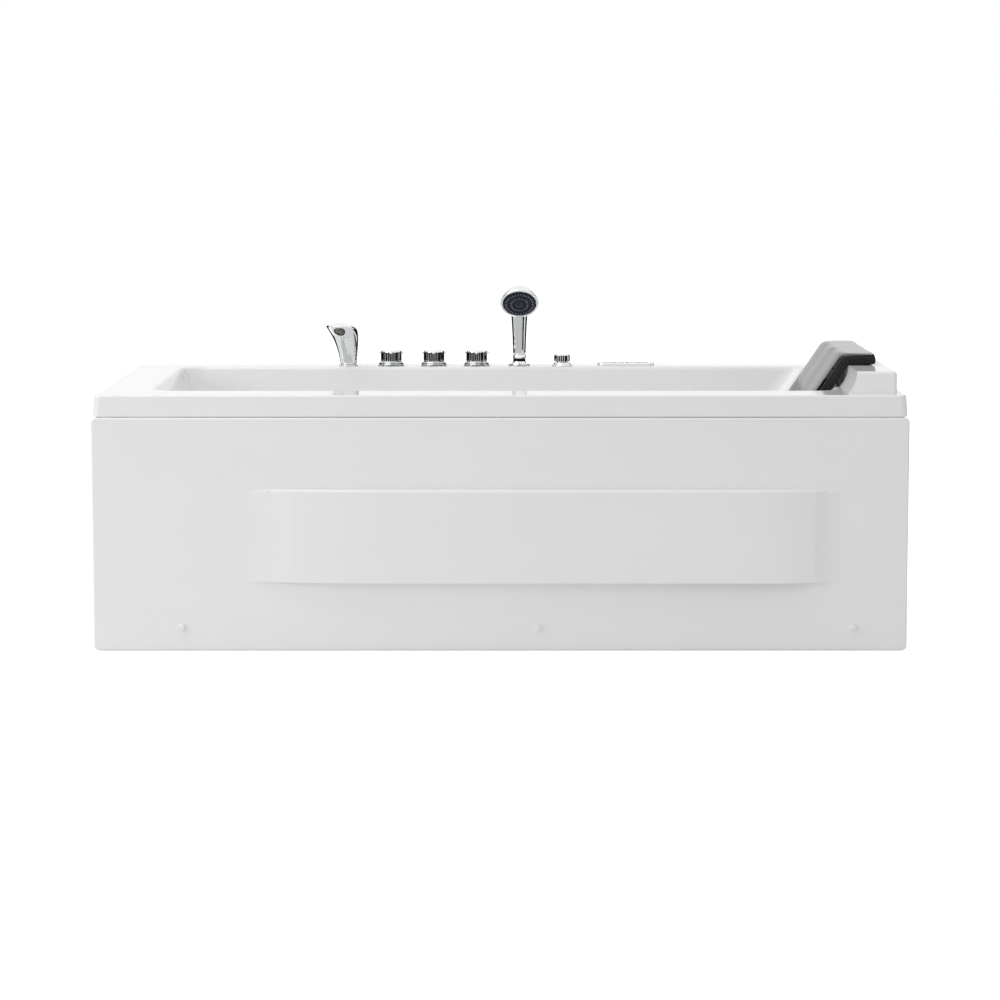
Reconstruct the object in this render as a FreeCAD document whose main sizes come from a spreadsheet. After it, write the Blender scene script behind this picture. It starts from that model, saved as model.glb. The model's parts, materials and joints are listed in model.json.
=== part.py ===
import FreeCAD, Part
import math
import os
import re
import Sketcher
from FreeCAD import Placement, Rotation, Vector

# A jetted bathtub for an alcove: a moulded acrylic shell with a raised head end, one front apron,
# a steel frame on levelling feet, deck taps, a hand shower, a pop-up waste with an overflow,
# six jets, and the pump, water pipes and air pipes behind the walls.
# Millimetres. +X runs to the head end, -Y to the apron, +Z up. The origin lies on the floor
# under the middle of the whole tub.

document = FreeCAD.newDocument("jetted_bathtub")

# ---------------------------------------------------------------- driving sizes

SIZES = [
    # shell
    ("rim_length", 1690, "rim from end to end"),
    ("rim_depth", 787, "rim from front to rear"),
    ("rim_height", 537, "floor to the deck's top"),
    ("fascia_drop", 45, "height of the rim's outer face"),
    ("fascia_lean", 3, "how far the outer face leans out at its foot"),
    ("shell_wall", 6, "acrylic with its glass fibre backing"),
    ("rim_corner", 14, "plan radius of the rim's corners"),
    ("rim_edge", 5, "round along the rim's top edge"),
    ("front_deck", 110, "width of the deck along the front"),
    ("rear_deck", 80, "width of the deck along the rear"),
    ("foot_deck", 108, "width of the deck at the foot end"),
    ("floor_height", 110, "floor to the basin's bottom"),
    ("backrest_slope", 56, "backrest, degrees from level"),
    ("foot_slope", 60, "foot end wall, degrees from level"),
    ("wall_draft", 8, "side walls, degrees from upright"),
    ("mouth_radius", 42, "corner radius at the basin's mouth"),
    ("bottom_radius", 118, "corner radius at the basin's bottom"),
    ("basin_sweep", 52, "round where the walls meet the bottom"),
    ("lip_round", 9, "round where the deck turns into the basin"),
    ("head_rise", 46, "raised head end above the deck"),
    ("head_inset", 15, "rim's head end to the raised end's outer face"),
    ("head_width", 84, "raised end's top, along the tub"),
    ("head_flank", 18, "how far the raised end's inner flank spreads"),
    ("head_front_gap", 40, "rim's front to the raised end's front face"),
    ("head_rear_gap", 14, "raised end's rear face to the rim's rear"),
    ("head_edge", 8, "round on the raised end's edges"),
    # apron
    ("apron_past", 5, "how far the apron passes the rim at each end"),
    ("apron_height", 489, "apron from foot to top"),
    ("apron_lift", 2, "gap under the apron"),
    ("apron_step", 12, "apron's face in front of the rim's face"),
    ("apron_wall", 4, "thickness of the apron's sheet"),
    ("apron_return", 32, "depth of the returned edges"),
    ("apron_corner", 10, "corner radius of the apron"),
    ("apron_edge", 4, "round on the apron's front edge"),
    ("bulge_out", 24, "how far the embossed panel stands out"),
    ("bulge_left_set", 299, "apron's left end to the embossed panel"),
    ("bulge_right_set", 144, "embossed panel to the apron's right end"),
    ("bulge_left_run", 300, "length of its left curve"),
    ("bulge_right_run", 150, "length of its right curve"),
    ("bulge_top", 343, "top ledge above the floor"),
    ("bulge_lip", 143, "front lower edge above the floor"),
    ("bulge_root", 118, "where its underside meets the panel"),
    ("bulge_round", 8, "round on the embossed edges"),
    ("cap_left_set", 185, "apron's left end to the left screw cap"),
    ("cap_middle", 78, "middle screw cap"),
    ("cap_right_set", 113, "right screw cap to the apron's right end"),
    ("cap_height", 51, "screw caps above the floor"),
    ("cap_radius", 7.5, "radius of a screw cap"),
    ("cap_proud", 7, "how far a cap stands out"),
    ("screw_radius", 2.4, "radius of an apron screw"),
    ("screw_length", 22, "length of an apron screw"),
    ("bracket_width", 40, "width of an apron bracket"),
    ("bracket_sheet", 3, "sheet of an apron bracket"),
    # frame
    ("tube_side", 25, "side of the square frame tube"),
    ("tube_wall", 2, "wall of the frame tube"),
    ("rail_set", 32.5, "rim's end to a long rail's end"),
    ("rail_base", 63, "underside of the rails above the floor"),
    ("front_rail_set", 55.5, "rim's front to the front rail's middle"),
    ("rear_rail_set", 76, "rim's rear to the rear rail's middle"),
    ("board_thick", 16, "bearer board under the basin"),
    ("board_left_set", 510, "rim's foot end to the bearer board"),
    ("board_right_set", 445, "bearer board to the rim's head end"),
    ("board_depth", 420, "bearer board from front to rear"),
    ("cross_left_set", 45, "board's left end to the cross rail under it"),
    ("cross_right_set", 100, "board's right end to the cross rail under it"),
    ("foot_set", 145, "rim's end to an end foot"),
    ("pad_radius", 26, "radius of a foot pad"),
    ("pad_height", 12, "height of a foot pad"),
    ("bolt_radius", 5, "radius of a levelling bolt"),
    ("bolt_sink", 8, "bolt's end above the floor, inside its pad"),
    ("nut_radius", 9, "corner radius of a levelling nut"),
    ("nut_height", 8, "height of a levelling nut"),
    ("fit_gap", 0.05, "running fit of a pin in its bore"),
    ("seat_gap", 0.3, "gap between close curved faces"),
    # waste and overflow
    ("drain_set", 445, "rim's foot end to the waste"),
    ("drain_hole", 24, "radius of the waste's hole"),
    ("drain_flange_radius", 35, "radius of the waste's flange"),
    ("drain_bore", 19, "bore of the waste"),
    ("drain_depth", 92, "waste body under the basin"),
    ("tail_length", 32, "waste's tail under its body"),
    ("drain_pipe_z", 76, "overflow pipe's lower run above the floor"),
    ("plug_radius", 27, "radius of the pop-up plug"),
    ("plug_lift", 9, "travel of the pop-up plug"),
    ("overflow_z", 440, "overflow's middle above the floor"),
    ("overflow_hole", 22, "radius of the overflow's hole"),
    ("overflow_knob_radius", 34, "radius of the overflow's turning knob"),
    ("overflow_reach", 42, "overflow body behind the wall"),
    ("overflow_pipe_radius", 14, "outer radius of the overflow pipe"),
    # suction, pump
    ("suction_set", 485, "rim's foot end to the suction"),
    ("suction_z", 198, "suction above the floor"),
    ("suction_radius", 41, "radius of the suction cover"),
    ("suction_hole", 27, "radius of the suction's hole"),
    ("suction_pipe_radius", 20, "outer radius of the suction pipe"),
    ("pipe_wall", 2.5, "wall of the plastic pipes"),
    ("pump_set", 130, "rim's foot end to the pump's shaft"),
    ("pump_y", 135, "front face of the pump's volute"),
    ("pump_z", 188, "pump's shaft above the floor"),
    ("volute_radius", 72, "outer radius of the volute"),
    ("volute_depth", 46, "depth of the volute"),
    ("volute_wall", 5, "wall of the volute"),
    ("outlet_offset", 35, "pump's outlet beside its shaft"),
    ("motor_radius", 62, "radius of the motor"),
    ("motor_length", 165, "length of the motor's housing"),
    ("fan_cover_length", 34, "length of the fan cover"),
    ("shaft_radius", 7, "radius of the motor's shaft"),
    ("pump_board_thick", 15, "board under the pump"),
    ("inlet_turn", 65, "suction pipe's last bend before the volute"),
    ("pump_rail_y", 112, "rail that carries the pump board's front"),
    # jets and pipes
    ("jet_z", 262, "jets above the floor"),
    ("jet_middle", 50, "middle jet, along the tub"),
    ("jet_pitch", 300, "distance between jets"),
    ("jet_hole", 24, "radius of a jet's hole"),
    ("jet_ring_radius", 33, "radius of a jet's trim ring"),
    ("jet_ring_thick", 5, "thickness of a jet's trim ring"),
    ("jet_ball", 17, "radius of a jet's ball nozzle"),
    ("jet_ball_sink", 4, "ball's centre behind the wall's face"),
    ("jet_bore", 6, "bore of a jet's nozzle"),
    ("jet_reach", 40, "water line's middle behind the wall's face"),
    ("water_radius", 16, "outer radius of the water pipes"),
    ("air_radius", 10, "outer radius of the air pipes"),
    ("air_offset", 30, "air line above or below the water line"),
    ("socket_wall", 4, "wall round a pipe socket"),
    ("socket_half", 30, "half length of a jet's pipe socket"),
    ("socket_depth", 12, "how far a pipe enters a socket"),
    ("loop_set", 165, "rim's foot end to the water loop's crossing"),
    ("loop_z", 330, "water loop's crossing above the floor"),
    ("loop_knee_set", 245, "rim's foot end to where the water loop climbs"),
    ("air_loop_set", 235, "air loop's crossing to the rim's head end"),
    # deck fittings
    ("fitting_set", 45, "rim's rear to the fittings' middles"),
    ("spout_x", -353, "spout, along the tub"),
    ("fitting_pitch", 99.4, "distance between neighbouring fittings"),
    ("panel_x", 292, "control panel, along the tub"),
    ("shank_radius", 14, "radius of the threaded shanks"),
    ("shank_hole", 14.6, "radius of the holes for the shanks"),
    ("deck_nut_radius", 22, "radius of a nut under the deck"),
    ("deck_nut_height", 9, "height of a nut under the deck"),
    ("knob_radius", 24.5, "radius of a tap handle"),
    ("knob_base", 9.5, "underside of a handle above the deck"),
    ("knob_top", 37, "top of a handle above the deck"),
    ("rosette_radius", 31, "radius of a tap's rosette"),
    ("lug_reach", 28.5, "how far a handle's studs reach"),
    ("lug_radius", 3, "radius of a handle's stud"),
    ("lug_height", 31, "studs above the deck"),
    ("stem_radius", 5, "radius of a valve's stem"),
    ("stem_top", 30, "top of a valve's stem above the deck"),
    ("valve_depth", 74, "valve body's end below the deck's top"),
    ("line_depth", 58, "mixed water line below the deck's top"),
    ("line_radius", 9, "outer radius of the mixed water line"),
    ("air_knob_radius", 18.8, "radius of the air control"),
    ("air_knob_base", 9.5, "underside of the air control above the deck"),
    ("air_knob_top", 27, "top of the air control above the deck"),
    ("air_rosette_radius", 23, "radius of the air control's rosette"),
    ("air_rosette_height", 7.5, "height of the air control's rosette"),
    ("spout_base_radius", 20, "radius of the spout's foot"),
    ("spout_reach", 74.4, "spout's lip in front of its foot's middle"),
    ("spout_left", 51, "spout's lip beside its foot's middle, to the foot end"),
    ("spout_rise", 102, "spout's top above the deck"),
    ("spout_right", 25, "spout's side beside its foot's middle, to the head end"),
    ("spout_mouth_out", 59.5, "outlet's middle in front of the foot's middle"),
    ("spout_mouth_aside", 22, "outlet's middle towards the foot end"),
    ("spout_mouth_z", 82.5, "outlet's middle above the deck"),
    ("spout_mouth_down", 45, "outlet's axis, degrees below level"),
    ("spout_mouth_turn", 20, "outlet's axis, degrees towards the foot end"),
    ("aerator_radius", 12, "radius of the spout's aerator"),
    ("aerator_depth", 4, "depth of the aerator's pocket"),
    ("shower_base_radius", 25.5, "radius of the hand shower's rosette"),
    ("cup_radius", 15.5, "outer radius of the hand shower's cup"),
    ("cup_top", 26, "top of the cup above the deck"),
    ("handle_foot_radius", 12.5, "radius of the handle in its cup"),
    ("handle_radius", 15, "radius of the handle above its cup"),
    ("handle_neck_radius", 19.6, "radius of the handle under the head"),
    ("shower_head_z", 146, "middle of the shower's face above the deck"),
    ("shower_head_out", 44, "middle of the shower's face before its foot"),
    ("shower_head_radius", 44, "radius of the shower head"),
    ("shower_face_radius", 38, "radius of the turning spray face"),
    ("shower_tilt", 41, "face's normal, degrees below level"),
    ("panel_length", 132, "length of the control panel"),
    ("panel_depth", 30, "control panel from front to rear"),
    ("panel_height", 7, "height of the control panel above the deck"),
    ("panel_body_length", 112, "length of the panel's box under the deck"),
    ("panel_body_depth", 22, "panel's box from front to rear"),
    ("panel_body_drop", 20, "panel's box below the deck's top"),
    ("button_radius", 6.5, "radius of a push button"),
    ("button_pitch", 30, "distance between push buttons"),
    ("button_proud", 1.6, "how far a button stands above the panel"),
    ("button_travel", 0.9, "travel of a button"),
    # pillow
    ("pillow_width", 405, "pillow, across the tub"),
    ("pillow_thick", 25, "thickness of the pillow's pad"),
    ("pillow_top_length", 62, "pillow's leg on the raised end"),
    ("pillow_slope_length", 190, "pillow's leg down the backrest"),
    ("pillow_crown", 4, "how far the pillow thins at its ends"),
    ("pillow_gap", 0.3, "gap between the pillow and the shell"),
]

# Places that follow from the sizes.
PLACES = [
    ("rear_y", "(rim_depth + apron_step + bulge_out) / 2"),
    ("rim_front_y", "rear_y - rim_depth"),
    ("rim_middle_y", "(rear_y + rim_front_y) / 2"),
    ("apron_y", "rim_front_y - apron_step"),
    ("half_rim", "rim_length / 2"),
    ("apron_length", "rim_length + 2 * apron_past"),
    ("half_apron", "apron_length / 2"),
    ("bulge_left", "bulge_left_set - half_apron"),
    ("bulge_right", "half_apron - bulge_right_set"),
    ("cap_left", "cap_left_set - half_apron"),
    ("cap_right", "half_apron - cap_right_set"),
    ("rail_length", "rim_length - 2 * rail_set"),
    ("board_left", "board_left_set - half_rim"),
    ("board_right", "half_rim - board_right_set"),
    ("cross_left", "board_left + cross_left_set"),
    ("cross_right", "board_right - cross_right_set"),
    ("foot_span", "half_rim - foot_set"),
    ("drain_x", "drain_set - half_rim"),
    ("suction_x", "suction_set - half_rim"),
    ("pump_x", "pump_set - half_rim"),
    ("loop_x", "loop_set - half_rim"),
    ("loop_knee_x", "loop_knee_set - half_rim"),
    ("air_loop_x", "half_rim - air_loop_set"),
    ("deck_under_z", "rim_height - shell_wall"),
    ("fascia_z", "rim_height - fascia_drop"),
    ("floor_under_z", "floor_height - shell_wall"),
    ("basin_front_y", "rim_front_y + front_deck"),
    ("basin_rear_y", "rear_y - rear_deck"),
    ("basin_foot_x", "foot_deck - half_rim"),
    ("basin_middle_y", "(basin_front_y + basin_rear_y) / 2"),
    ("head_top_z", "rim_height + head_rise"),
    ("head_outer_x", "half_rim - head_inset"),
    ("head_inner_x", "head_outer_x - head_width"),
    ("head_front_y", "rim_front_y + head_front_gap"),
    ("head_rear_y", "rear_y - head_rear_gap"),
    ("mouth_z", "head_top_z + 20"),
    ("bulge_face_y", "apron_y - bulge_out"),
    ("bulge_left_radius", "(bulge_left_run ^ 2 + bulge_out ^ 2) / (4 * bulge_out)"),
    ("bulge_right_radius", "(bulge_right_run ^ 2 + bulge_out ^ 2) / (4 * bulge_out)"),
    ("rail_top", "rail_base + tube_side"),
    ("front_rail_y", "rim_front_y + front_rail_set"),
    ("rear_rail_y", "rear_y - rear_rail_set"),
    ("end_rail_x", "(rail_length - tube_side) / 2"),
    ("cross_length", "rear_rail_y - front_rail_y - tube_side"),
    ("post_height", "deck_under_z - rail_top"),
    ("fitting_y", "rear_y - fitting_set"),
    ("diverter_x", "spout_x + fitting_pitch"),
    ("hot_x", "diverter_x + fitting_pitch"),
    ("cold_x", "hot_x + fitting_pitch"),
    ("shower_x", "cold_x + fitting_pitch"),
    ("air_x", "shower_x + fitting_pitch"),
    ("jet_rear_y", "basin_rear_y - (rim_height - jet_z) * tan(wall_draft)"),
    ("jet_front_y", "basin_front_y + (rim_height - jet_z) * tan(wall_draft)"),
    ("rear_line_y", "jet_rear_y + jet_reach * cos(wall_draft)"),
    ("front_line_y", "jet_front_y - jet_reach * cos(wall_draft)"),
    ("line_z", "jet_z - jet_reach * sin(wall_draft)"),
    ("rear_air_y", "rear_line_y + air_offset * sin(wall_draft)"),
    ("front_air_y", "front_line_y - air_offset * sin(wall_draft)"),
    ("air_line_z", "line_z + air_offset * cos(wall_draft)"),
    ("suction_y", "basin_rear_y - (rim_height - suction_z) * tan(wall_draft)"),
    ("overflow_x", "basin_foot_x + (rim_height - overflow_z) / tan(foot_slope)"),
    ("overflow_back_x", "overflow_x - overflow_reach * sin(foot_slope)"),
    ("overflow_back_z", "overflow_z - overflow_reach * cos(foot_slope)"),
    ("riser_y", "pump_y + volute_depth / 2"),
    ("riser_x", "pump_x + outlet_offset"),
    ("motor_y", "pump_y + volute_depth"),
    ("fan_y", "motor_y + motor_length"),
    ("pump_board_z", "rail_top + pump_board_thick"),
    ("mixed_line_z", "rim_height - line_depth"),
    ("shower_face_y", "fitting_y - shower_head_out"),
    ("shower_face_z", "rim_height + shower_head_z"),
]

sizes = document.addObject("Spreadsheet::Sheet", "Sizes")
places = document.addObject("Spreadsheet::Sheet", "Places")
SHEET_OF = {}


def fill_sheet(sheet, rows):
    """Writes one named cell a row into a sheet."""
    for row, entry in enumerate(rows, 1):
        name, content = entry[0], str(entry[1])
        sheet.set(f"A{row}", name)
        sheet.set(f"B{row}", "=" + formula(content) if sheet is places else content)
        if len(entry) > 2:
            sheet.set(f"C{row}", entry[2])
        sheet.setAlias(f"B{row}", name)
        SHEET_OF[name] = sheet.Name
    document.recompute()


def formula(text):
    """Puts the sheet's name before each named value of an expression."""
    def full_name(word):
        name = word.group()
        return f"{SHEET_OF[name]}.{name}" if name in SHEET_OF else name
    return re.sub(r"[a-z_]\w*", full_name, str(text))


def read(text):
    """The number that an expression has now."""
    result = sizes.evalExpression(formula(text))
    return float(getattr(result, "Value", result))


fill_sheet(sizes, SIZES)
fill_sheet(places, PLACES)

# ---------------------------------------------------------------- ways to build

UPRIGHT = Rotation()
X_AXIS, Y_AXIS, Z_AXIS = Vector(1, 0, 0), Vector(0, 1, 0), Vector(0, 0, 1)
ALONG_X = Rotation(Y_AXIS, 90)                       # own height along +X
ALONG_Y = Rotation(X_AXIS, -90)                      # own height along +Y
TOWARDS_FRONT = Rotation(X_AXIS, 90)                 # own height along -Y
SIDE_VIEW = Rotation(Vector(1, 1, 1), 120)           # own x, y, height along +Y, +Z, +X

NODES = []


def node(piece, name):
    """Marks a finished piece, which is saved under this name."""
    piece.Label = name
    NODES.append((name, piece))
    return piece


def set_place(piece, x, y, z, turn=UPRIGHT):
    """Turns a piece and ties its place to expressions."""
    piece.Placement = Placement(Vector(), turn)
    for axis, rule in zip("xyz", (x, y, z)):
        piece.setExpression(f"Placement.Base.{axis}", formula(rule))
    return piece


def sized(kind, name, rules):
    """A Part primitive whose sizes are tied to expressions."""
    piece = document.addObject("Part::" + kind, name)
    for size_name, rule in rules.items():
        piece.setExpression(size_name, formula(rule))
    return piece


def box(name, length, width, height, x, y, z, turn=UPRIGHT):
    """A block from its lowest corner."""
    piece = sized("Box", name, {"Length": length, "Width": width, "Height": height})
    return set_place(piece, x, y, z, turn)


def rod(name, radius, length, x, y, z, turn=UPRIGHT):
    """A cylinder from the middle of its foot."""
    piece = sized("Cylinder", name, {"Radius": radius, "Height": length})
    return set_place(piece, x, y, z, turn)


def fuse(name, *pieces):
    piece = document.addObject("Part::MultiFuse", name)
    piece.Shapes = list(pieces)
    return piece


def cut(name, base, *tools):
    """base without the tools."""
    piece = document.addObject("Part::Cut", name)
    piece.Base = base
    piece.Tool = tools[0] if len(tools) == 1 else fuse(name + "_tools", *tools)
    return piece


def common(name, base, tool):
    piece = document.addObject("Part::Common", name)
    piece.Base = base
    piece.Tool = tool
    return piece


def group(name, pieces):
    """Separate like solids in one node."""
    piece = document.addObject("Part::Compound", name)
    piece.Links = list(pieces)
    return piece


def copies(name, source, spots):
    """Copies of one piece at (x, y, z, turn) spots, in one node."""
    links = []
    for number, (x, y, z, turn) in enumerate(spots, 1):
        link = document.addObject("App::Link", f"{name}_{number}")
        link.LinkedObject = source
        links.append(set_place(link, x, y, z, turn))
    return group(name, links)


def rounded(name, base, radius, chosen):
    """base with the edges that chosen() picks rounded off."""
    document.recompute()
    piece = document.addObject("Part::Fillet", name)
    piece.Base = base
    size = read(radius)
    edges = enumerate(base.Shape.Edges, 1)
    piece.Edges = [(number, size, size) for number, edge in edges if chosen(edge)]
    return piece


def draw(sketch, outline):
    """Draws a closed outline of (x, y) or (x, y, radius) corners. A radius bends the stretch to
    the next corner: round a centre on its left, or on its right where the radius is negative."""
    points = [Vector(read(corner[0]), read(corner[1]), 0) for corner in outline]
    ends = []
    for number, corner in enumerate(outline):
        start, finish = points[number], points[(number + 1) % len(points)]
        if len(corner) == 2:
            sketch.addGeometry(Part.LineSegment(start, finish), False)
            ends.append((1, 2))
            continue
        radius = read(corner[2])
        chord = finish - start
        left = Vector(-chord.y, chord.x, 0).normalize()
        rise = math.sqrt(radius ** 2 - (chord.Length / 2) ** 2)
        centre = (start + finish) / 2 + left * math.copysign(rise, radius)
        first, last = (start, finish) if radius > 0 else (finish, start)
        angles = [math.atan2(end.y - centre.y, end.x - centre.x) for end in (first, last)]
        if angles[1] < angles[0]:
            angles[1] += 2 * math.pi
        arc = Part.ArcOfCircle(Part.Circle(centre, Z_AXIS, abs(radius)), *angles)
        sketch.addGeometry(arc, False)
        ends.append((1, 2) if radius > 0 else (2, 1))
    for number, corner in enumerate(outline):
        following = (number + 1) % len(outline)
        join = Sketcher.Constraint("Coincident", number, ends[number][1], following, ends[following][0])
        sketch.addConstraint(join)
    for number, corner in enumerate(outline):
        for kind, rule in zip(("DistanceX", "DistanceY"), corner):
            pin = Sketcher.Constraint(kind, -1, 1, number, ends[number][0], read(rule))
            tie(sketch, pin, rule)
        if len(corner) == 3:
            rule = corner[2].lstrip("-")
            tie(sketch, Sketcher.Constraint("Radius", number, read(rule)), rule)


def tie(sketch, constraint, rule):
    """Adds a constraint and ties it to an expression."""
    number = sketch.addConstraint(constraint)
    sketch.setExpression(f"Constraints[{number}]", formula(rule))


def body_sketch(name, plane, outline):
    """A body with one sketch on one of its own planes."""
    body = document.addObject("PartDesign::Body", name)
    sketch = body.newObject("Sketcher::SketchObject", name + "_outline")
    base = [plane_ for plane_ in body.Origin.OriginFeatures if plane_.Role == plane][0]
    sketch.AttachmentSupport = [(base, "")]
    sketch.MapMode = "FlatFace"
    draw(sketch, outline)
    return body, sketch


def turned(name, outline, x="0", y="0", z="0", turn=UPRIGHT):
    """A round piece: a half outline of (radius, height) corners, turned about its own height."""
    body, sketch = body_sketch(name, "XZ_Plane", outline)
    feature = body.newObject("PartDesign::Revolution", name + "_turn")
    feature.Profile = sketch
    feature.ReferenceAxis = (sketch, ["V_Axis"])
    feature.Angle = 360
    return set_place(body, x, y, z, turn)


def plate(name, outline, thickness, x="0", y="0", z="0", turn=UPRIGHT):
    """A flat outline with a thickness."""
    body, sketch = body_sketch(name, "XY_Plane", outline)
    feature = body.newObject("PartDesign::Pad", name + "_pad")
    feature.Profile = sketch
    feature.setExpression("Length", formula(thickness))
    return set_place(body, x, y, z, turn)


def round_rectangle(x_min, x_max, y_min, y_max, radius):
    """The outline of a rectangle with round corners."""
    return [
        (f"{x_min} + {radius}", y_min), (f"{x_max} - {radius}", y_min, radius),
        (x_max, f"{y_min} + {radius}"), (x_max, f"{y_max} - {radius}", radius),
        (f"{x_max} - {radius}", y_max), (f"{x_min} + {radius}", y_max, radius),
        (x_min, f"{y_max} - {radius}"), (x_min, f"{y_min} + {radius}", radius),
    ]


def lofted(name, sections):
    """A straight-sided solid through (outline, height) sections."""
    sketches = []
    for number, (outline, height) in enumerate(sections, 1):
        sketch = document.addObject("Sketcher::SketchObject", f"{name}_section_{number}")
        draw(sketch, outline)
        sketches.append(set_place(sketch, "0", "0", height))
    piece = document.addObject("Part::Loft", name)
    piece.Sections = sketches
    piece.Solid = True
    piece.Ruled = True
    return piece


def feature(name, shape):
    """A piece whose shape this script works out."""
    piece = document.addObject("Part::Feature", name)
    piece.Shape = shape
    return piece


def bent_line(points, bend):
    """A wire of straight runs with an arc of radius bend at each inner point."""
    spots = [Vector(*point) for point in points]
    edges = []
    start = spots[0]
    for before, corner, after in zip(spots, spots[1:], spots[2:]):
        arriving, leaving = (corner - before).normalize(), (after - corner).normalize()
        half = arriving.getAngle(leaving) / 2
        tangent = bend * math.tan(half)
        first, last = corner - arriving * tangent, corner + leaving * tangent
        inwards = (leaving - arriving).normalize()
        middle = corner + inwards * (bend / math.cos(half) - bend)
        edges += [Part.LineSegment(start, first).toShape(), Part.Arc(first, middle, last).toShape()]
        start = last
    edges.append(Part.LineSegment(start, spots[-1]).toShape())
    return Part.Wire(edges)


def pipe_shape(points, radius, bend, wall):
    """A bent pipe with its bore."""
    spine = bent_line(points, bend)
    start = Vector(*points[0])
    direction = Vector(*points[1]) - start
    walls = []
    for size in (radius, radius - wall):
        ring = Part.Wire(Part.makeCircle(size, start, direction))
        walls.append(spine.makePipeShell([ring], True, False))
    return walls[0].cut(walls[1])


def point(*rules):
    """A spot, read from three expressions."""
    return [read(rule) for rule in rules]


# ---------------------------------------------------------------- basin walls

def foot_x(height, outwards="0"):
    """The foot end wall at a height, outwards of its inner face."""
    return (f"basin_foot_x + (rim_height - ({height})) / tan(foot_slope)"
            f" - ({outwards}) / sin(foot_slope)")


def head_x(height, outwards="0"):
    """The backrest at a height, outwards of its inner face."""
    return (f"head_inner_x - (head_top_z - ({height})) / tan(backrest_slope)"
            f" + ({outwards}) / sin(backrest_slope)")


def front_y(height, outwards="0"):
    """The front wall at a height, outwards of its inner face."""
    return f"basin_front_y + (rim_height - ({height})) * tan(wall_draft) - ({outwards}) / cos(wall_draft)"


def back_y(height, outwards="0"):
    """The rear wall at a height, outwards of its inner face."""
    return f"basin_rear_y - (rim_height - ({height})) * tan(wall_draft) + ({outwards}) / cos(wall_draft)"


def basin_section(height, outwards, radius):
    """The basin's outline at a height."""
    return round_rectangle(foot_x(height, outwards), head_x(height, outwards),
                           front_y(height, outwards), back_y(height, outwards),
                           f"({radius} + {outwards})")


def basin_solid(name, outwards, bottom, sweep):
    """The room inside the basin, grown outwards, with its swept bottom edge."""
    walls = lofted(name + "_walls", [
        (basin_section(bottom, outwards, "bottom_radius"), bottom),
        (basin_section("mouth_z", outwards, "mouth_radius"), "mouth_z"),
    ])
    low = read(bottom)
    return rounded(name, walls, sweep, lambda edge: edge.BoundBox.ZMax < low + 0.01)


# ---------------------------------------------------------------- shell

JET_X = ["(jet_middle - jet_pitch)", "jet_middle", "(jet_middle + jet_pitch)"]
REAR_TURN = Rotation(X_AXIS, 90 - read("wall_draft"))
FRONT_TURN = Rotation(X_AXIS, read("wall_draft") - 90)
FOOT_TURN = Rotation(Y_AXIS, read("foot_slope"))


def rim_block(name, inset, top, bottom):
    """The rim as a block, inset from its outer faces and leaning out at its foot."""
    def outline(spread):
        return round_rectangle(f"(-half_rim - {spread} + {inset})", f"(half_rim + {spread} - {inset})",
                               f"(rim_front_y + {inset})", f"(rear_y - {inset})",
                               f"(rim_corner - {inset} / 2)")
    return lofted(name, [(outline("fascia_lean"), bottom), (outline("0"), top)])


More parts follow.
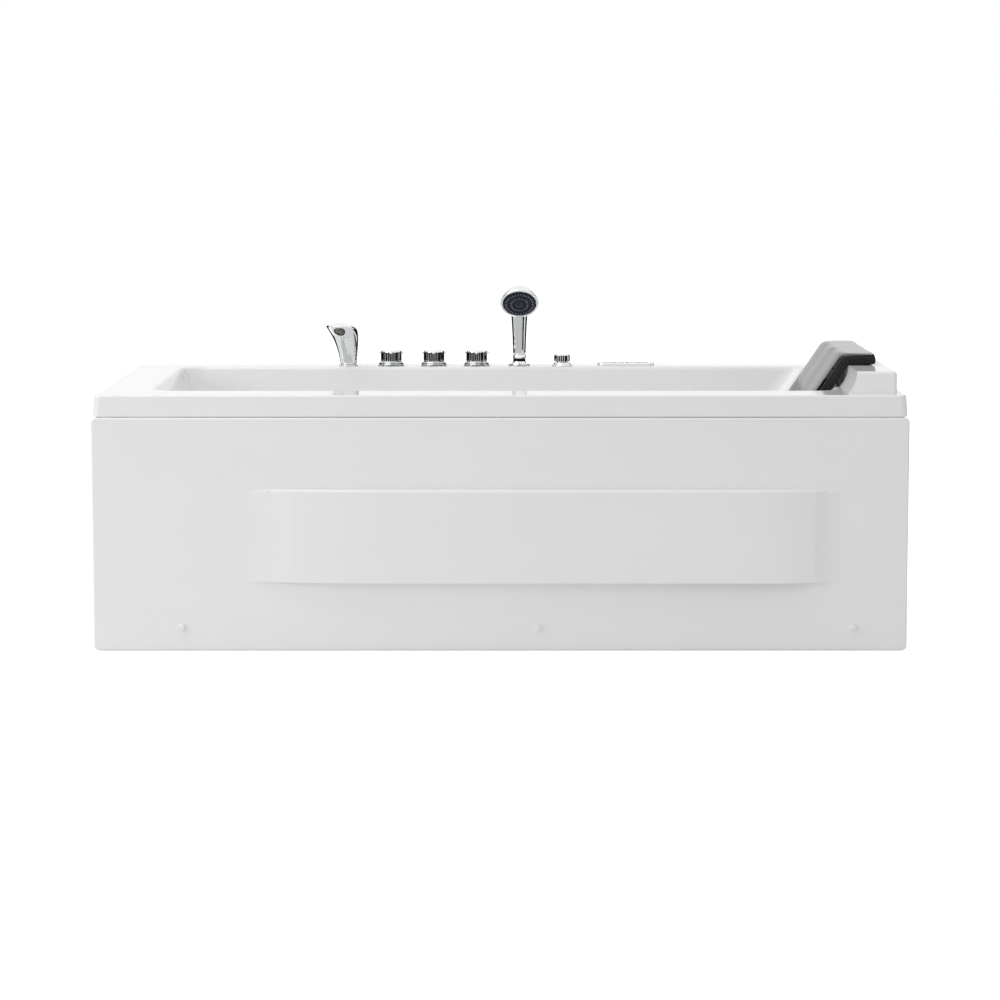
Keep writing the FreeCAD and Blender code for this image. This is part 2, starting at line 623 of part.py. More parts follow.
def make_shell():
    """The acrylic shell: deck, fascia, raised head end and basin."""
    rim = rim_block("rim_solid", "0", "rim_height", "fascia_z")
    top = read("rim_height")
    rim = rounded("rim_rounded", rim, "rim_edge", lambda edge: edge.BoundBox.ZMin > top - 0.01)
    rim_room = rim_block("rim_room", "shell_wall", "deck_under_z", "(fascia_z - 5)")

    head_outline = [
        ("head_inner_x - head_flank", "deck_under_z"),
        ("head_outer_x", "deck_under_z"),
        ("head_outer_x", "head_top_z"),
        ("head_inner_x", "head_top_z", "-(head_rise * 1.6)"),
        ("head_inner_x - head_flank", "rim_height"),
    ]
    head = plate("head_solid", head_outline, "head_rear_y - head_front_y",
                 y="head_rear_y", turn=TOWARDS_FRONT)
    head_top, outer = read("head_top_z"), read("head_outer_x")

    def outside_edge(edge):
        limits = edge.BoundBox
        on_top = limits.ZMin > head_top - 0.01 and limits.XMax > outer - 0.01
        on_top_sides = limits.ZMin > head_top - 0.01 and limits.YLength < 0.01
        upright = limits.XMin > outer - 0.01 and limits.ZLength > 1
        return on_top or on_top_sides or upright
    head = rounded("head_rounded", head, "head_edge", outside_edge)
    head_room = box("head_room", "head_width - shell_wall", "head_rear_y - head_front_y - 2 * shell_wall",
                    "head_rise + shell_wall", "head_inner_x", "head_front_y + shell_wall",
                    "deck_under_z - shell_wall")
    skirt = cut("skirt", fuse("rim_and_head", rim, head), rim_room, head_room)

    outer_basin = basin_solid("basin_outside", "shell_wall", "floor_under_z", "(basin_sweep + shell_wall)")
    below_deck = box("below_deck", "rim_length", "rim_depth", "rim_height", "-half_rim", "rim_front_y", "0")
    walls = common("basin_walls", outer_basin, fuse("shell_bounds", below_deck, head))
    room = basin_solid("basin_room", "0", "floor_height", "basin_sweep")
    whole = cut("shell_whole", fuse("shell_solid", skirt, walls), room)

    deck_z, front, rear = read("rim_height"), read("basin_front_y"), read("basin_rear_y")
    left, right = read("basin_foot_x"), read("head_inner_x")

    def lip_edge(edge):
        limits, middle = edge.BoundBox, edge.BoundBox.Center
        level = limits.ZLength < 0.01
        on_deck = level and abs(limits.ZMin - deck_z) < 0.01
        inside = left - 20 < middle.x < right - 30 and front - 5 < middle.y < rear + 5
        at_mouth = limits.XMin > left - 1 and limits.YMin > front - 1 and limits.YMax < rear + 1
        return on_deck and inside and at_mouth
    lipped = rounded("shell_lipped", whole, "lip_round", lip_edge)

    holes = [rod(f"deck_hole_{x_rule}", "shank_hole", "60", x_rule, "fitting_y", "deck_under_z - 20")
             for x_rule in ("spout_x", "diverter_x", "hot_x", "cold_x", "shower_x", "air_x")]
    holes.append(box("panel_hole", "panel_body_length + 2 * seat_gap", "panel_body_depth + 2 * seat_gap",
                     "60", "panel_x - panel_body_length / 2 - seat_gap",
                     "fitting_y - panel_body_depth / 2 - seat_gap", "deck_under_z - 20"))
    holes.append(rod("waste_hole", "drain_hole", "40", "drain_x", "basin_middle_y", "floor_under_z - 20"))
    holes.append(rod("overflow_hole_tool", "overflow_hole", "60",
                     "overflow_x - 30 * sin(foot_slope)", "basin_middle_y",
                     "overflow_z - 30 * cos(foot_slope)", FOOT_TURN))
    holes.append(rod("suction_hole_tool", "suction_hole", "60", "suction_x",
                     "suction_y + 30 * cos(wall_draft)", "suction_z - 30 * sin(wall_draft)", REAR_TURN))
    for number, x_rule in enumerate(JET_X, 1):
        holes.append(rod(f"rear_jet_hole_{number}", "jet_hole", "60", x_rule,
                         "jet_rear_y + 30 * cos(wall_draft)", "jet_z - 30 * sin(wall_draft)", REAR_TURN))
        holes.append(rod(f"front_jet_hole_{number}", "jet_hole", "60", x_rule,
                         "jet_front_y - 30 * cos(wall_draft)", "jet_z - 30 * sin(wall_draft)", FRONT_TURN))
    node(cut("tub_shell", lipped, group("shell_holes", holes)), "tub_shell")


# ---------------------------------------------------------------- apron

CAP_X = ["cap_left", "cap_middle", "cap_right"]


def bulge_block(name, inset):
    """The embossed panel as a block, inset from its outer faces."""
    back_y = "(apron_y + apron_wall + 6)"
    base_y, face_y = f"(apron_y + {inset})", f"(bulge_face_y + {inset})"
    half_y = f"({base_y} - bulge_out / 2)"
    plan = plate(name + "_plan", [
        ("bulge_left", base_y, "-bulge_left_radius"),
        ("bulge_left + bulge_left_run / 2", half_y, "bulge_left_radius"),
        ("bulge_left + bulge_left_run", face_y),
        ("bulge_right - bulge_right_run", face_y, "bulge_right_radius"),
        ("bulge_right - bulge_right_run / 2", half_y, "-bulge_right_radius"),
        ("bulge_right", base_y),
        ("bulge_right", back_y),
        ("bulge_left", back_y),
    ], "bulge_top")
    slope = "(bulge_lip - bulge_root) / bulge_out"
    spare = 10
    profile = plate(name + "_profile", [
        (back_y, f"bulge_root + {inset}"),
        (back_y, f"bulge_top - {inset}"),
        (f"{face_y} - {spare}", f"bulge_top - {inset}"),
        (f"{face_y} - {spare}", f"bulge_lip + {inset} + {spare} * {slope}"),
        (base_y, f"bulge_root + {inset}"),
    ], "apron_length", x="-apron_length / 2", turn=SIDE_VIEW)
    return common(name, plan, profile)


def make_apron():
    """The front apron, a shallow tray with an embossed panel, and what fastens its foot."""
    def tray(name, inset, depth, y_rule):
        half = f"(apron_length / 2 - {inset})"
        return plate(name, round_rectangle(f"(-{half})", half, f"(apron_lift + {inset})",
                                           f"(apron_lift + apron_height - {inset})",
                                           f"(apron_corner - {inset} / 2)"),
                     depth, y=y_rule, turn=TOWARDS_FRONT)
    outside = tray("apron_outside", "0", "apron_return", "apron_y + apron_return")
    face = read("apron_y")
    outside = rounded("apron_rounded", outside, "apron_edge", lambda edge: edge.BoundBox.YMax < face + 0.01)
    inside = tray("apron_inside", "apron_wall", "apron_return", "apron_y + apron_return + apron_wall")
    bulge = bulge_block("bulge_outside", "0")
    bulge_face, high, low = read("bulge_face_y"), read("bulge_top"), read("bulge_lip")

    def ledge_edge(edge):
        limits = edge.BoundBox
        at_top = limits.ZMin > high - 0.01 and limits.YMax < face + 0.01
        return at_top
    bulge = rounded("bulge_rounded", bulge, "bulge_round", ledge_edge)
    hollow = bulge_block("bulge_inside", "apron_wall")
    holes = [rod(f"apron_hole_{x_rule}", "screw_radius + fit_gap", "2 * apron_wall", x_rule,
                 "apron_y - apron_wall / 2", "cap_height", ALONG_Y) for x_rule in CAP_X]
    whole = fuse("apron_solid", outside, bulge)
    node(cut("front_apron", whole, inside, hollow, *holes), "front_apron")

    screw = turned("apron_screw", [
        ("0", "-screw_radius"), ("2 * screw_radius", "-screw_radius"), ("2 * screw_radius", "0"),
        ("screw_radius", "0"), ("screw_radius", "screw_length"), ("0", "screw_length")])
    node(copies("apron_screws", screw, [(x, "apron_y", "cap_height", ALONG_Y) for x in CAP_X]),
         "apron_screws")
    cap = turned("apron_cap", [
        ("0", "-cap_proud"), ("cap_radius - 2", "-cap_proud"), ("cap_radius", "2 - cap_proud"),
        ("cap_radius", "0"), ("2 * screw_radius + fit_gap", "0"),
        ("2 * screw_radius + fit_gap", "-screw_radius - fit_gap"), ("0", "-screw_radius - fit_gap")])
    node(copies("screw_caps", cap, [(x, "apron_y", "cap_height", ALONG_Y) for x in CAP_X]), "screw_caps")

    back = "(apron_y + apron_wall)"
    leg = "(rail_base - bracket_sheet)"
    bracket = plate("apron_bracket_solid", [
        (back, "cap_height - 16"), (f"{back} + bracket_sheet", "cap_height - 16"),
        (f"{back} + bracket_sheet", leg), ("front_rail_y", leg), ("front_rail_y", "rail_base"),
        (back, "rail_base")], "bracket_width", x="-bracket_width / 2", turn=SIDE_VIEW)
    hole = rod("bracket_hole", "screw_radius + fit_gap", "4 * bracket_sheet", "0",
               f"{back} - bracket_sheet", "cap_height", ALONG_Y)
    bracket = cut("apron_bracket", bracket, hole)
    node(copies("apron_brackets", bracket, [(x, "0", "0", UPRIGHT) for x in CAP_X]), "apron_brackets")


# ---------------------------------------------------------------- frame

FOOT_X = ["-foot_span", "0", "foot_span"]


def square_tube(name, length):
    """A length of square tube along +X, from the middle of its foot."""
    half = "-tube_side / 2"
    outside = box(name + "_outside", length, "tube_side", "tube_side", "0", half, "0")
    inside = box(name + "_inside", length, "tube_side - 2 * tube_wall", "tube_side - 2 * tube_wall",
                 "0", f"{half} + tube_wall", "tube_wall")
    return cut(name, outside, inside)


def make_frame():
    """The welded frame, the bearer boards and the levelling feet."""
    for name, y_rule in (("front_rail", "front_rail_y"), ("rear_rail", "rear_rail_y")):
        tube = square_tube(name + "_tube", "rail_length")
        set_place(tube, "-rail_length / 2", y_rule, "rail_base")
        holes = [rod(f"{name}_hole_{number}", "bolt_radius + fit_gap", "2 * tube_wall", x_rule, y_rule,
                     "rail_base - tube_wall / 2") for number, x_rule in enumerate(FOOT_X)]
        node(cut(name, tube, *holes), name)

    across = Rotation(Z_AXIS, 90)
    cross = square_tube("cross_tube", "cross_length")
    spots = [(x, "front_rail_y + tube_side / 2", "rail_base", across)
             for x in ("-end_rail_x", "cross_left", "cross_right", "end_rail_x")]
    pump_rail = square_tube("pump_rail", "end_rail_x + cross_left - tube_side")
    set_place(pump_rail, "-end_rail_x + tube_side / 2", "pump_rail_y", "rail_base")
    node(group("cross_rails", [copies("cross_rail_set", cross, spots), pump_rail]), "cross_rails")

    post = square_tube("post_tube", "post_height")
    raised = Rotation(Y_AXIS, -90)
    posts = [(f"{side} * end_rail_x + tube_side / 2", y_rule, "rail_top", raised)
             for side in ("-1", "1") for y_rule in ("front_rail_y", "rear_rail_y")]
    node(copies("corner_posts", post, posts), "corner_posts")

    board = box("bearer_board", "board_right - board_left", "board_depth", "board_thick", "board_left",
                "basin_middle_y - board_depth / 2", "rail_top")
    pump_board = box("pump_board", "2 * volute_radius - 4", "rear_rail_y - pump_rail_y + tube_side",
                     "pump_board_thick", "pump_x - volute_radius + 2", "pump_rail_y - tube_side / 2",
                     "rail_top")
    node(group("bearer_boards", [board, pump_board]), "bearer_boards")

    spots = [(x, y, "0", UPRIGHT) for y in ("front_rail_y", "rear_rail_y") for x in FOOT_X]
    pad = turned("foot_pad", [
        ("0", "0"), ("pad_radius", "0"), ("pad_radius", "3"), ("pad_radius / 2", "pad_height"),
        ("bolt_radius + fit_gap", "pad_height"), ("bolt_radius + fit_gap", "bolt_sink - fit_gap"),
        ("0", "bolt_sink - fit_gap")])
    node(copies("foot_pads", pad, spots), "foot_pads")
    bolt = rod("foot_bolt", "bolt_radius", "rail_base + tube_side / 2 - bolt_sink", "0", "0", "0")
    node(copies("foot_bolts", bolt, [(x, y, "bolt_sink", turn) for x, y, z, turn in spots]), "foot_bolts")
    nut = hex_nut("foot_nut", "nut_radius", "bolt_radius + fit_gap", "nut_height")
    node(copies("foot_nuts", nut, [(x, y, "rail_base - nut_height", turn) for x, y, z, turn in spots]),
         "foot_nuts")


def hex_nut(name, radius, bore, height):
    """A six-sided nut, from the middle of its foot."""
    blank = sized("Prism", name + "_blank", {"Circumradius": radius, "Height": height})
    blank.Polygon = 6
    return cut(name, blank, rod(name + "_bore", bore, f"{height} + 2", "0", "0", "-1"))


# ---------------------------------------------------------------- waste and overflow

def make_waste():
    """The pop-up waste, the overflow with its turning knob, and the pipe between them."""
    throat = "(drain_hole - 0.5)"
    throat_end = "-shell_wall - 14"
    flange = turned("drain_flange", [
        ("drain_bore", throat_end), (throat, throat_end), (throat, "0.1"),
        ("drain_flange_radius", "0.1"), ("drain_flange_radius - 1", "1.5"), ("drain_bore + 3", "2.5"),
        ("drain_bore", "0.5")], "drain_x", "basin_middle_y", "floor_height")
    node(flange, "drain_flange")

    body = turned("drain_body_shell", [
        ("drain_bore", "-drain_depth"), ("drain_bore + 3", "-drain_depth"),
        ("drain_bore + 3", "tail_length - drain_depth"), ("drain_bore + 5", "tail_length - drain_depth"),
        ("drain_bore + 5", "-22"), ("drain_hole + 9", "-10"), ("drain_hole + 9", "0"),
        (f"{throat} + fit_gap", "0"), (f"{throat} + fit_gap", "-14 - fit_gap"),
        ("drain_bore", "-14 - fit_gap")], "drain_x", "basin_middle_y", "floor_under_z")
    pipe_end = "(drain_x - drain_bore - 30)"
    socket = rod("drain_socket", "overflow_pipe_radius + 4", "34", pipe_end, "basin_middle_y",
                 "drain_pipe_z", ALONG_X)
    clear = rod("drain_clear", "drain_bore", "drain_depth + 10", "drain_x", "basin_middle_y",
                "floor_under_z - drain_depth - 5")
    wide = rod("drain_socket_bore", "overflow_pipe_radius + fit_gap", "20", f"{pipe_end} - 2",
               "basin_middle_y", "drain_pipe_z", ALONG_X)
    narrow = rod("drain_inlet_bore", "overflow_pipe_radius - pipe_wall", "40", pipe_end,
                 "basin_middle_y", "drain_pipe_z", ALONG_X)
    throat_room = rod("drain_throat_room", f"{throat} + fit_gap", "20", "drain_x", "basin_middle_y",
                      "floor_under_z - 14 - fit_gap")
    shell = fuse("drain_body_solid", body, socket)
    node(cut("drain_body", shell, clear, wide, narrow, throat_room), "drain_body")

    plug = turned("drain_plug", [
        ("0", "-40"), ("4", "-40"), ("4", "1"), ("drain_bore - 2", "1.8"), ("plug_radius", "4"),
        ("plug_radius", "5.8"), ("plug_radius - 4", "8.2"), ("0", "9.6")],
        "drain_x", "basin_middle_y", "floor_height")
    node(plug, "drain_plug")

    tube = "(overflow_hole - 0.5)"
    behind = "(-shell_wall)"
    elbow = turned("overflow_barrel", [
        ("0", "-overflow_reach"), (tube, "-overflow_reach"), (tube, f"{behind} - 8"),
        (f"{tube} + 9", f"{behind} - 8"), (f"{tube} + 9", behind), (tube, behind), (tube, "0.5"),
        (f"{tube} - 4", "0.5"), (f"{tube} - 4", "-12"), ("stem_radius + fit_gap", "-12"),
        ("stem_radius + fit_gap", "-18"), (f"{tube} - 4", "-18"),
        (f"{tube} - 4", "4 - overflow_reach"), ("0", "4 - overflow_reach")],
        "overflow_x", "basin_middle_y", "overflow_z", FOOT_TURN)
    outlet_drop = "48"
    outlet = rod("overflow_outlet", "overflow_pipe_radius + 4", outlet_drop, "overflow_back_x",
                 "basin_middle_y", f"overflow_back_z - {outlet_drop} + 4")
    outlet_bore = rod("overflow_outlet_bore", "overflow_pipe_radius + fit_gap", "22", "overflow_back_x",
                      "basin_middle_y", f"overflow_back_z - {outlet_drop} + 2")
    outlet_way = rod("overflow_outlet_way", "overflow_pipe_radius - pipe_wall", "46", "overflow_back_x",
                     "basin_middle_y", f"overflow_back_z - {outlet_drop} + 2")
    ways = []
    for number in range(4):
        angle = math.radians(45 + 90 * number)
        x_part, y_part = 11 * math.cos(angle), 11 * math.sin(angle)
        ways.append(rod(f"overflow_way_{number}", "4", "30", str(round(x_part, 3)), str(round(y_part, 3)),
                        "-26"))
    way_group = group("overflow_ways", ways)
    set_place(way_group, "overflow_x", "basin_middle_y", "overflow_z", FOOT_TURN)
    solid = fuse("overflow_solid", elbow, outlet)
    node(cut("overflow_elbow", solid, outlet_bore, outlet_way, way_group), "overflow_elbow")

    knob = turned("overflow_knob", [
        ("0", "-20"), ("stem_radius", "-20"), ("stem_radius", "4"), ("overflow_knob_radius", "4"),
        ("overflow_knob_radius", "9"), ("overflow_knob_radius - 6", "14"), ("0", "16")],
        "overflow_x", "basin_middle_y", "overflow_z", FOOT_TURN)
    node(knob, "overflow_knob")

    route = [point("overflow_back_x", "basin_middle_y", f"overflow_back_z - {outlet_drop} + 14"),
             point("overflow_back_x", "basin_middle_y", "drain_pipe_z"),
             point(f"{pipe_end} + 14", "basin_middle_y", "drain_pipe_z")]
    shape = pipe_shape(route, read("overflow_pipe_radius"), 50, read("pipe_wall"))
    node(feature("overflow_pipe", shape), "overflow_pipe")


# ---------------------------------------------------------------- suction and pump

def make_suction():
    """The suction fitting in the rear wall and its pipe to the pump."""
    spot = ("suction_x", "suction_y", "suction_z", REAR_TURN)
    tube = "(suction_hole - 0.5)"
    body = turned("suction_barrel", [
        ("0", "-68"), (tube, "-68"), (tube, "-shell_wall - 8"), (f"{tube} + 9", "-shell_wall - 8"),
        (f"{tube} + 9", "-shell_wall"), (tube, "-shell_wall"), (tube, "0.5"), (f"{tube} - 4", "0.5"),
        (f"{tube} - 4", "-64"), ("0", "-64")], *spot)
    reach = "suction_pipe_radius + 20"
    outlet_y = f"suction_y + ({reach}) * cos(wall_draft)"
    outlet_z = f"suction_z - ({reach}) * sin(wall_draft)"
    socket = rod("suction_socket", "suction_pipe_radius + socket_wall", "46", "suction_x - 46",
                 outlet_y, outlet_z, ALONG_X)
    bore = rod("suction_socket_bore", "suction_pipe_radius + fit_gap", "16", "suction_x - 48",
               outlet_y, outlet_z, ALONG_X)
    way = rod("suction_way", "suction_pipe_radius - pipe_wall", "46", "suction_x - 46",
              outlet_y, outlet_z, ALONG_X)
    node(cut("suction_body", fuse("suction_solid", body, socket), bore, way), "suction_body")

    cover = turned("suction_cover_shell", [
        (f"{tube} - 4 - fit_gap", "-10"), (f"{tube} - 4 - fit_gap", "0.6"), ("suction_radius", "0.6"),
        ("suction_radius", "6"), ("suction_radius - 8", "11"), ("0", "13"), ("0", "9.5"),
        ("suction_radius - 10", "7.5"), (f"{tube} - 8", "4"), (f"{tube} - 8", "-10")], *spot)
    slots = []
    for ring, count in ((10, 6), (20, 12), (30, 16)):
        for number in range(count):
            angle = 2 * math.pi * number / count
            slots.append(rod(f"grille_hole_{ring}_{number}", "2.6", "20",
                             str(round(ring * math.cos(angle), 3)), str(round(ring * math.sin(angle), 3)),
                             "3"))
    holes = set_place(group("grille_holes", slots), *spot)
    node(cut("suction_cover", cover, holes), "suction_cover")

    route = [point("suction_x - 34", outlet_y, outlet_z), point("loop_knee_x + 10", outlet_y, outlet_z),
             point("loop_knee_x + 10", "pump_y - inlet_turn", "pump_z"), point("pump_x", "pump_y - inlet_turn", "pump_z"),
             point("pump_x", "pump_y - 14", "pump_z")]
    node(feature("suction_pipe", pipe_shape(route, read("suction_pipe_radius"), 40, read("pipe_wall"))),
         "suction_pipe")


def make_pump():
    """The pump: volute, impeller, motor with its rotor, fan and covers, and its saddle."""
    spot = ("pump_x", "pump_y", "pump_z", ALONG_Y)
    inner = "(volute_radius - volute_wall)"
    neck = "(suction_pipe_radius + 4)"
    bore = "(suction_pipe_radius - pipe_wall)"
    volute = turned("volute_shell", [
        (bore, "-14"), (neck, "-14"), (neck, "0"), ("volute_radius - 6", "0"), ("volute_radius", "6"),
        ("volute_radius", "volute_depth"), (inner, "volute_depth"), (inner, "volute_wall"),
        (bore, "volute_wall")], *spot)
    outlet = rod("volute_outlet", "water_radius + 5", "volute_radius + 18", "riser_x", "riser_y", "pump_z")
    outlet_bore = rod("volute_outlet_bore", "water_radius - pipe_wall", "volute_radius + 30",
                      "riser_x", "riser_y", "pump_z")
    room = rod("volute_room", inner, "volute_depth - volute_wall", "pump_x", "pump_y + volute_wall",
               "pump_z", ALONG_Y)
    solid = fuse("volute_solid", volute, outlet)
    node(cut("pump_volute", solid, outlet_bore, room), "pump_volute")

    impeller = turned("impeller_disc", [
        ("shaft_radius", "16"), ("14", "16"), ("20", "30"), (f"{inner} - 8", "34"),
        (f"{inner} - 8", "38"), ("shaft_radius", "38")], *spot)
    blades = []
    for number in range(6):
        blade = box(f"impeller_blade_{number}", f"{inner} - 26", "3", "12", "17", "-1.5", "20")
        turn = Rotation(Z_AXIS, 60 * number)
        holder = group(f"impeller_blade_turn_{number}", [blade])
        holder.Placement = Placement(Vector(), turn)
        blades.append(holder)
    blades = set_place(group("impeller_blades", blades), *spot)
    node(fuse("pump_impeller", impeller, blades), "pump_impeller")

    spot = ("pump_x", "motor_y", "pump_z", ALONG_Y)
    hole = "(shaft_radius + fit_gap)"
    housing = turned("motor_housing", [
        (hole, "0"), ("volute_radius", "0"), ("volute_radius", "6"), ("motor_radius", "12"),
        ("motor_radius", "motor_length"), (hole, "motor_length"), (hole, "motor_length - 6"),
        ("motor_radius - 5", "motor_length - 6"), ("motor_radius - 5", "8"), (hole, "8")], *spot)
    node(housing, "motor_housing")
    rotor = turned("motor_rotor", [
        ("0", "-30"), ("shaft_radius", "-30"), ("shaft_radius", "30"), ("motor_radius - 22", "30"),
        ("motor_radius - 22", "motor_length - 30"), ("shaft_radius", "motor_length - 30"),
        ("shaft_radius", "motor_length + 22"), ("0", "motor_length + 22")], *spot)
    node(rotor, "motor_rotor")

    spot = ("pump_x", "fan_y", "pump_z", ALONG_Y)
    fan = turned("fan_hub", [
        ("shaft_radius", "4"), ("14", "4"), ("14", "22"), ("shaft_radius", "22")], *spot)
    vanes = []
    for number in range(7):
        vane = box(f"fan_vane_{number}", "motor_radius - 20", "2.5", "14", "12", "-1.2", "6")
        holder = group(f"fan_vane_turn_{number}", [vane])
        holder.Placement = Placement(Vector(), Rotation(Z_AXIS, 360 * number / 7))
        vanes.append(holder)
    vanes = set_place(group("fan_vanes", vanes), *spot)
    node(fuse("motor_fan", fan, vanes), "motor_fan")
    cover = turned("fan_cover_shell", [
        ("motor_radius", "0"), ("motor_radius", "fan_cover_length - 5"),
        ("motor_radius - 5", "fan_cover_length"), ("0", "fan_cover_length"),
        ("0", "fan_cover_length - 2"), ("motor_radius - 6", "fan_cover_length - 2"),
        ("motor_radius - 2", "fan_cover_length - 6"), ("motor_radius - 2", "0")], *spot)
    holes = []
    for ring, count in ((14, 6), (26, 12), (38, 18), (50, 24)):
        for number in range(count):
            angle = 2 * math.pi * number / count
            holes.append(rod(f"fan_hole_{ring}_{number}", "3.2", "12", str(round(ring * math.cos(angle), 3)),
                             str(round(ring * math.sin(angle), 3)), "fan_cover_length - 8"))
    holes = set_place(group("fan_cover_holes", holes), *spot)
    node(cut("fan_cover", cover, holes), "fan_cover")

    clear = rod("motor_clear", "motor_radius + seat_gap", "motor_length", "pump_x", "motor_y",
                "pump_z", ALONG_Y)
    saddle = box("saddle_block", "90", "motor_length - 40", "pump_z - pump_board_z - 30", "pump_x - 45",
                 "motor_y + 20", "pump_board_z")
    node(cut("pump_saddle", saddle, clear), "pump_saddle")
    switch = box("switch_block", "78", "88", "46", "pump_x - 39", "motor_y + 40",
                 "pump_z + motor_radius - 22")
    switch = cut("switch_cut", switch, clear)
    node(switch, "switch_box")

    inlet_union = turned("inlet_union", [
        (f"{neck} + seat_gap", "0"), (f"{neck} + 8", "0"), (f"{neck} + 8", "22"),
        ("suction_pipe_radius + fit_gap", "22"), ("suction_pipe_radius + fit_gap", "12"),
        (f"{neck} + seat_gap", "12")], "pump_x", "pump_y - 2", "pump_z", TOWARDS_FRONT)
    outlet_union = turned("outlet_union", [
        ("water_radius + 5 + seat_gap", "0"), ("water_radius + 13", "0"), ("water_radius + 13", "20"),
        ("water_radius + fit_gap", "20"), ("water_radius + fit_gap", "12"),
        ("water_radius + 5 + seat_gap", "12")], "riser_x", "riser_y", "pump_z + volute_radius + 6")
    node(group("pump_unions", [inlet_union, outlet_union]), "pump_unions")


# ---------------------------------------------------------------- jets, water and air

def jet_body(name, side):
    """A jet's body in its own frame: height along its axis into the basin, pipes along x."""
    air_y = f"({side} * air_offset)"
    throat = "(jet_ball + 0.4)"
    hull = turned(name + "_hull", [
        ("0", "-jet_reach - 22"), ("water_radius + 5", "-jet_reach - 22"),
        ("jet_hole - 0.5", "-jet_reach - 10"), ("jet_hole - 0.5", "-shell_wall - 8"),
        ("jet_hole + 9", "-shell_wall - 8"), ("jet_hole + 9", "-shell_wall"),
        ("jet_hole - 0.5", "-shell_wall"), ("jet_hole - 0.5", "0"), ("0", "0")])
    water = rod(name + "_water_socket", "water_radius + socket_wall", "2 * socket_half",
                "-socket_half", "0", "-jet_reach", ALONG_X)
    air = rod(name + "_air_socket", "air_radius + socket_wall", "2 * socket_half",
              "-socket_half", air_y, "-jet_reach", ALONG_X)
    tools = [turned(name + "_throat", [
        ("0", "-jet_reach - 16"), ("water_radius - pipe_wall", "-jet_reach - 16"),
        ("water_radius - pipe_wall", "-24"), (throat, "-20"), (throat, "1"), ("0", "1")])]
    for kind, radius, y_rule in (("water", "water_radius", "0"), ("air", "air_radius", air_y)):
        tools.append(rod(f"{name}_{kind}_way", f"{radius} - pipe_wall", "2 * socket_half",
                         "-socket_half", y_rule, "-jet_reach", ALONG_X))
        for end in ("-socket_half - 1", "socket_half - socket_depth"):
            tools.append(rod(f"{name}_{kind}_bore_{len(tools)}", f"{radius} + fit_gap",
                             "socket_depth + 1", end, y_rule, "-jet_reach", ALONG_X))
    feed = rod(name + "_air_feed", "3", "air_offset", "0", "0", "-jet_reach",
               ALONG_Y if side == "1" else TOWARDS_FRONT)
    return cut(name, fuse(name + "_solid", hull, water, air), *tools, feed)


def make_jets():
    """Six jets: bodies behind the walls, trim rings and ball nozzles inside them."""
    rear = [(x, "jet_rear_y", "jet_z", REAR_TURN) for x in JET_X]
    front = [(x, "jet_front_y", "jet_z", FRONT_TURN) for x in JET_X]
    bodies = [copies("rear_jet_bodies", jet_body("rear_jet_body", "1"), rear),
              copies("front_jet_bodies", jet_body("front_jet_body", "-1"), front)]
    node(group("jet_bodies", bodies), "jet_bodies")

    ring = turned("jet_ring", [
        ("jet_ball + 0.4", "0.1"), ("jet_ring_radius", "0.1"), ("jet_ring_radius - 1", "2"),
        ("jet_ball + 4", "jet_ring_thick"), ("jet_ball - 2", "jet_ring_thick"),
        ("jet_ball - 0.4", "2")])
    node(copies("jet_rings", ring, rear + front), "jet_rings")

    front_cut, back_cut = "(jet_ball - 4)", "(jet_ball - 5)"
    front_r = f"sqrt(jet_ball ^ 2 - {front_cut} ^ 2)"
    back_r = f"sqrt(jet_ball ^ 2 - {back_cut} ^ 2)"
    for number, (x, y, z, turn) in enumerate(rear + front, 1):
        ball = turned(f"jet_nozzle_{number}", [
            ("jet_bore", f"-jet_ball_sink - {back_cut}"), (back_r, f"-jet_ball_sink - {back_cut}", "jet_ball"),
            (front_r, f"{front_cut} - jet_ball_sink"),
            ("jet_bore + 2", f"{front_cut} - jet_ball_sink"),
            ("jet_bore", f"{front_cut} - jet_ball_sink - 4")], x, y, z, turn)
        node(ball, f"jet_nozzle_{number}")


def along_x(name, radius, start, finish, y_rule, z_rule):
    """A straight length of pipe along +X."""
    outside = rod(name + "_outside", radius, f"({finish}) - ({start})", start, y_rule, z_rule, ALONG_X)
    inside = rod(name + "_bore", f"{radius} - pipe_wall", f"({finish}) - ({start})", start, y_rule,
                 z_rule, ALONG_X)
    return cut(name, outside, inside)


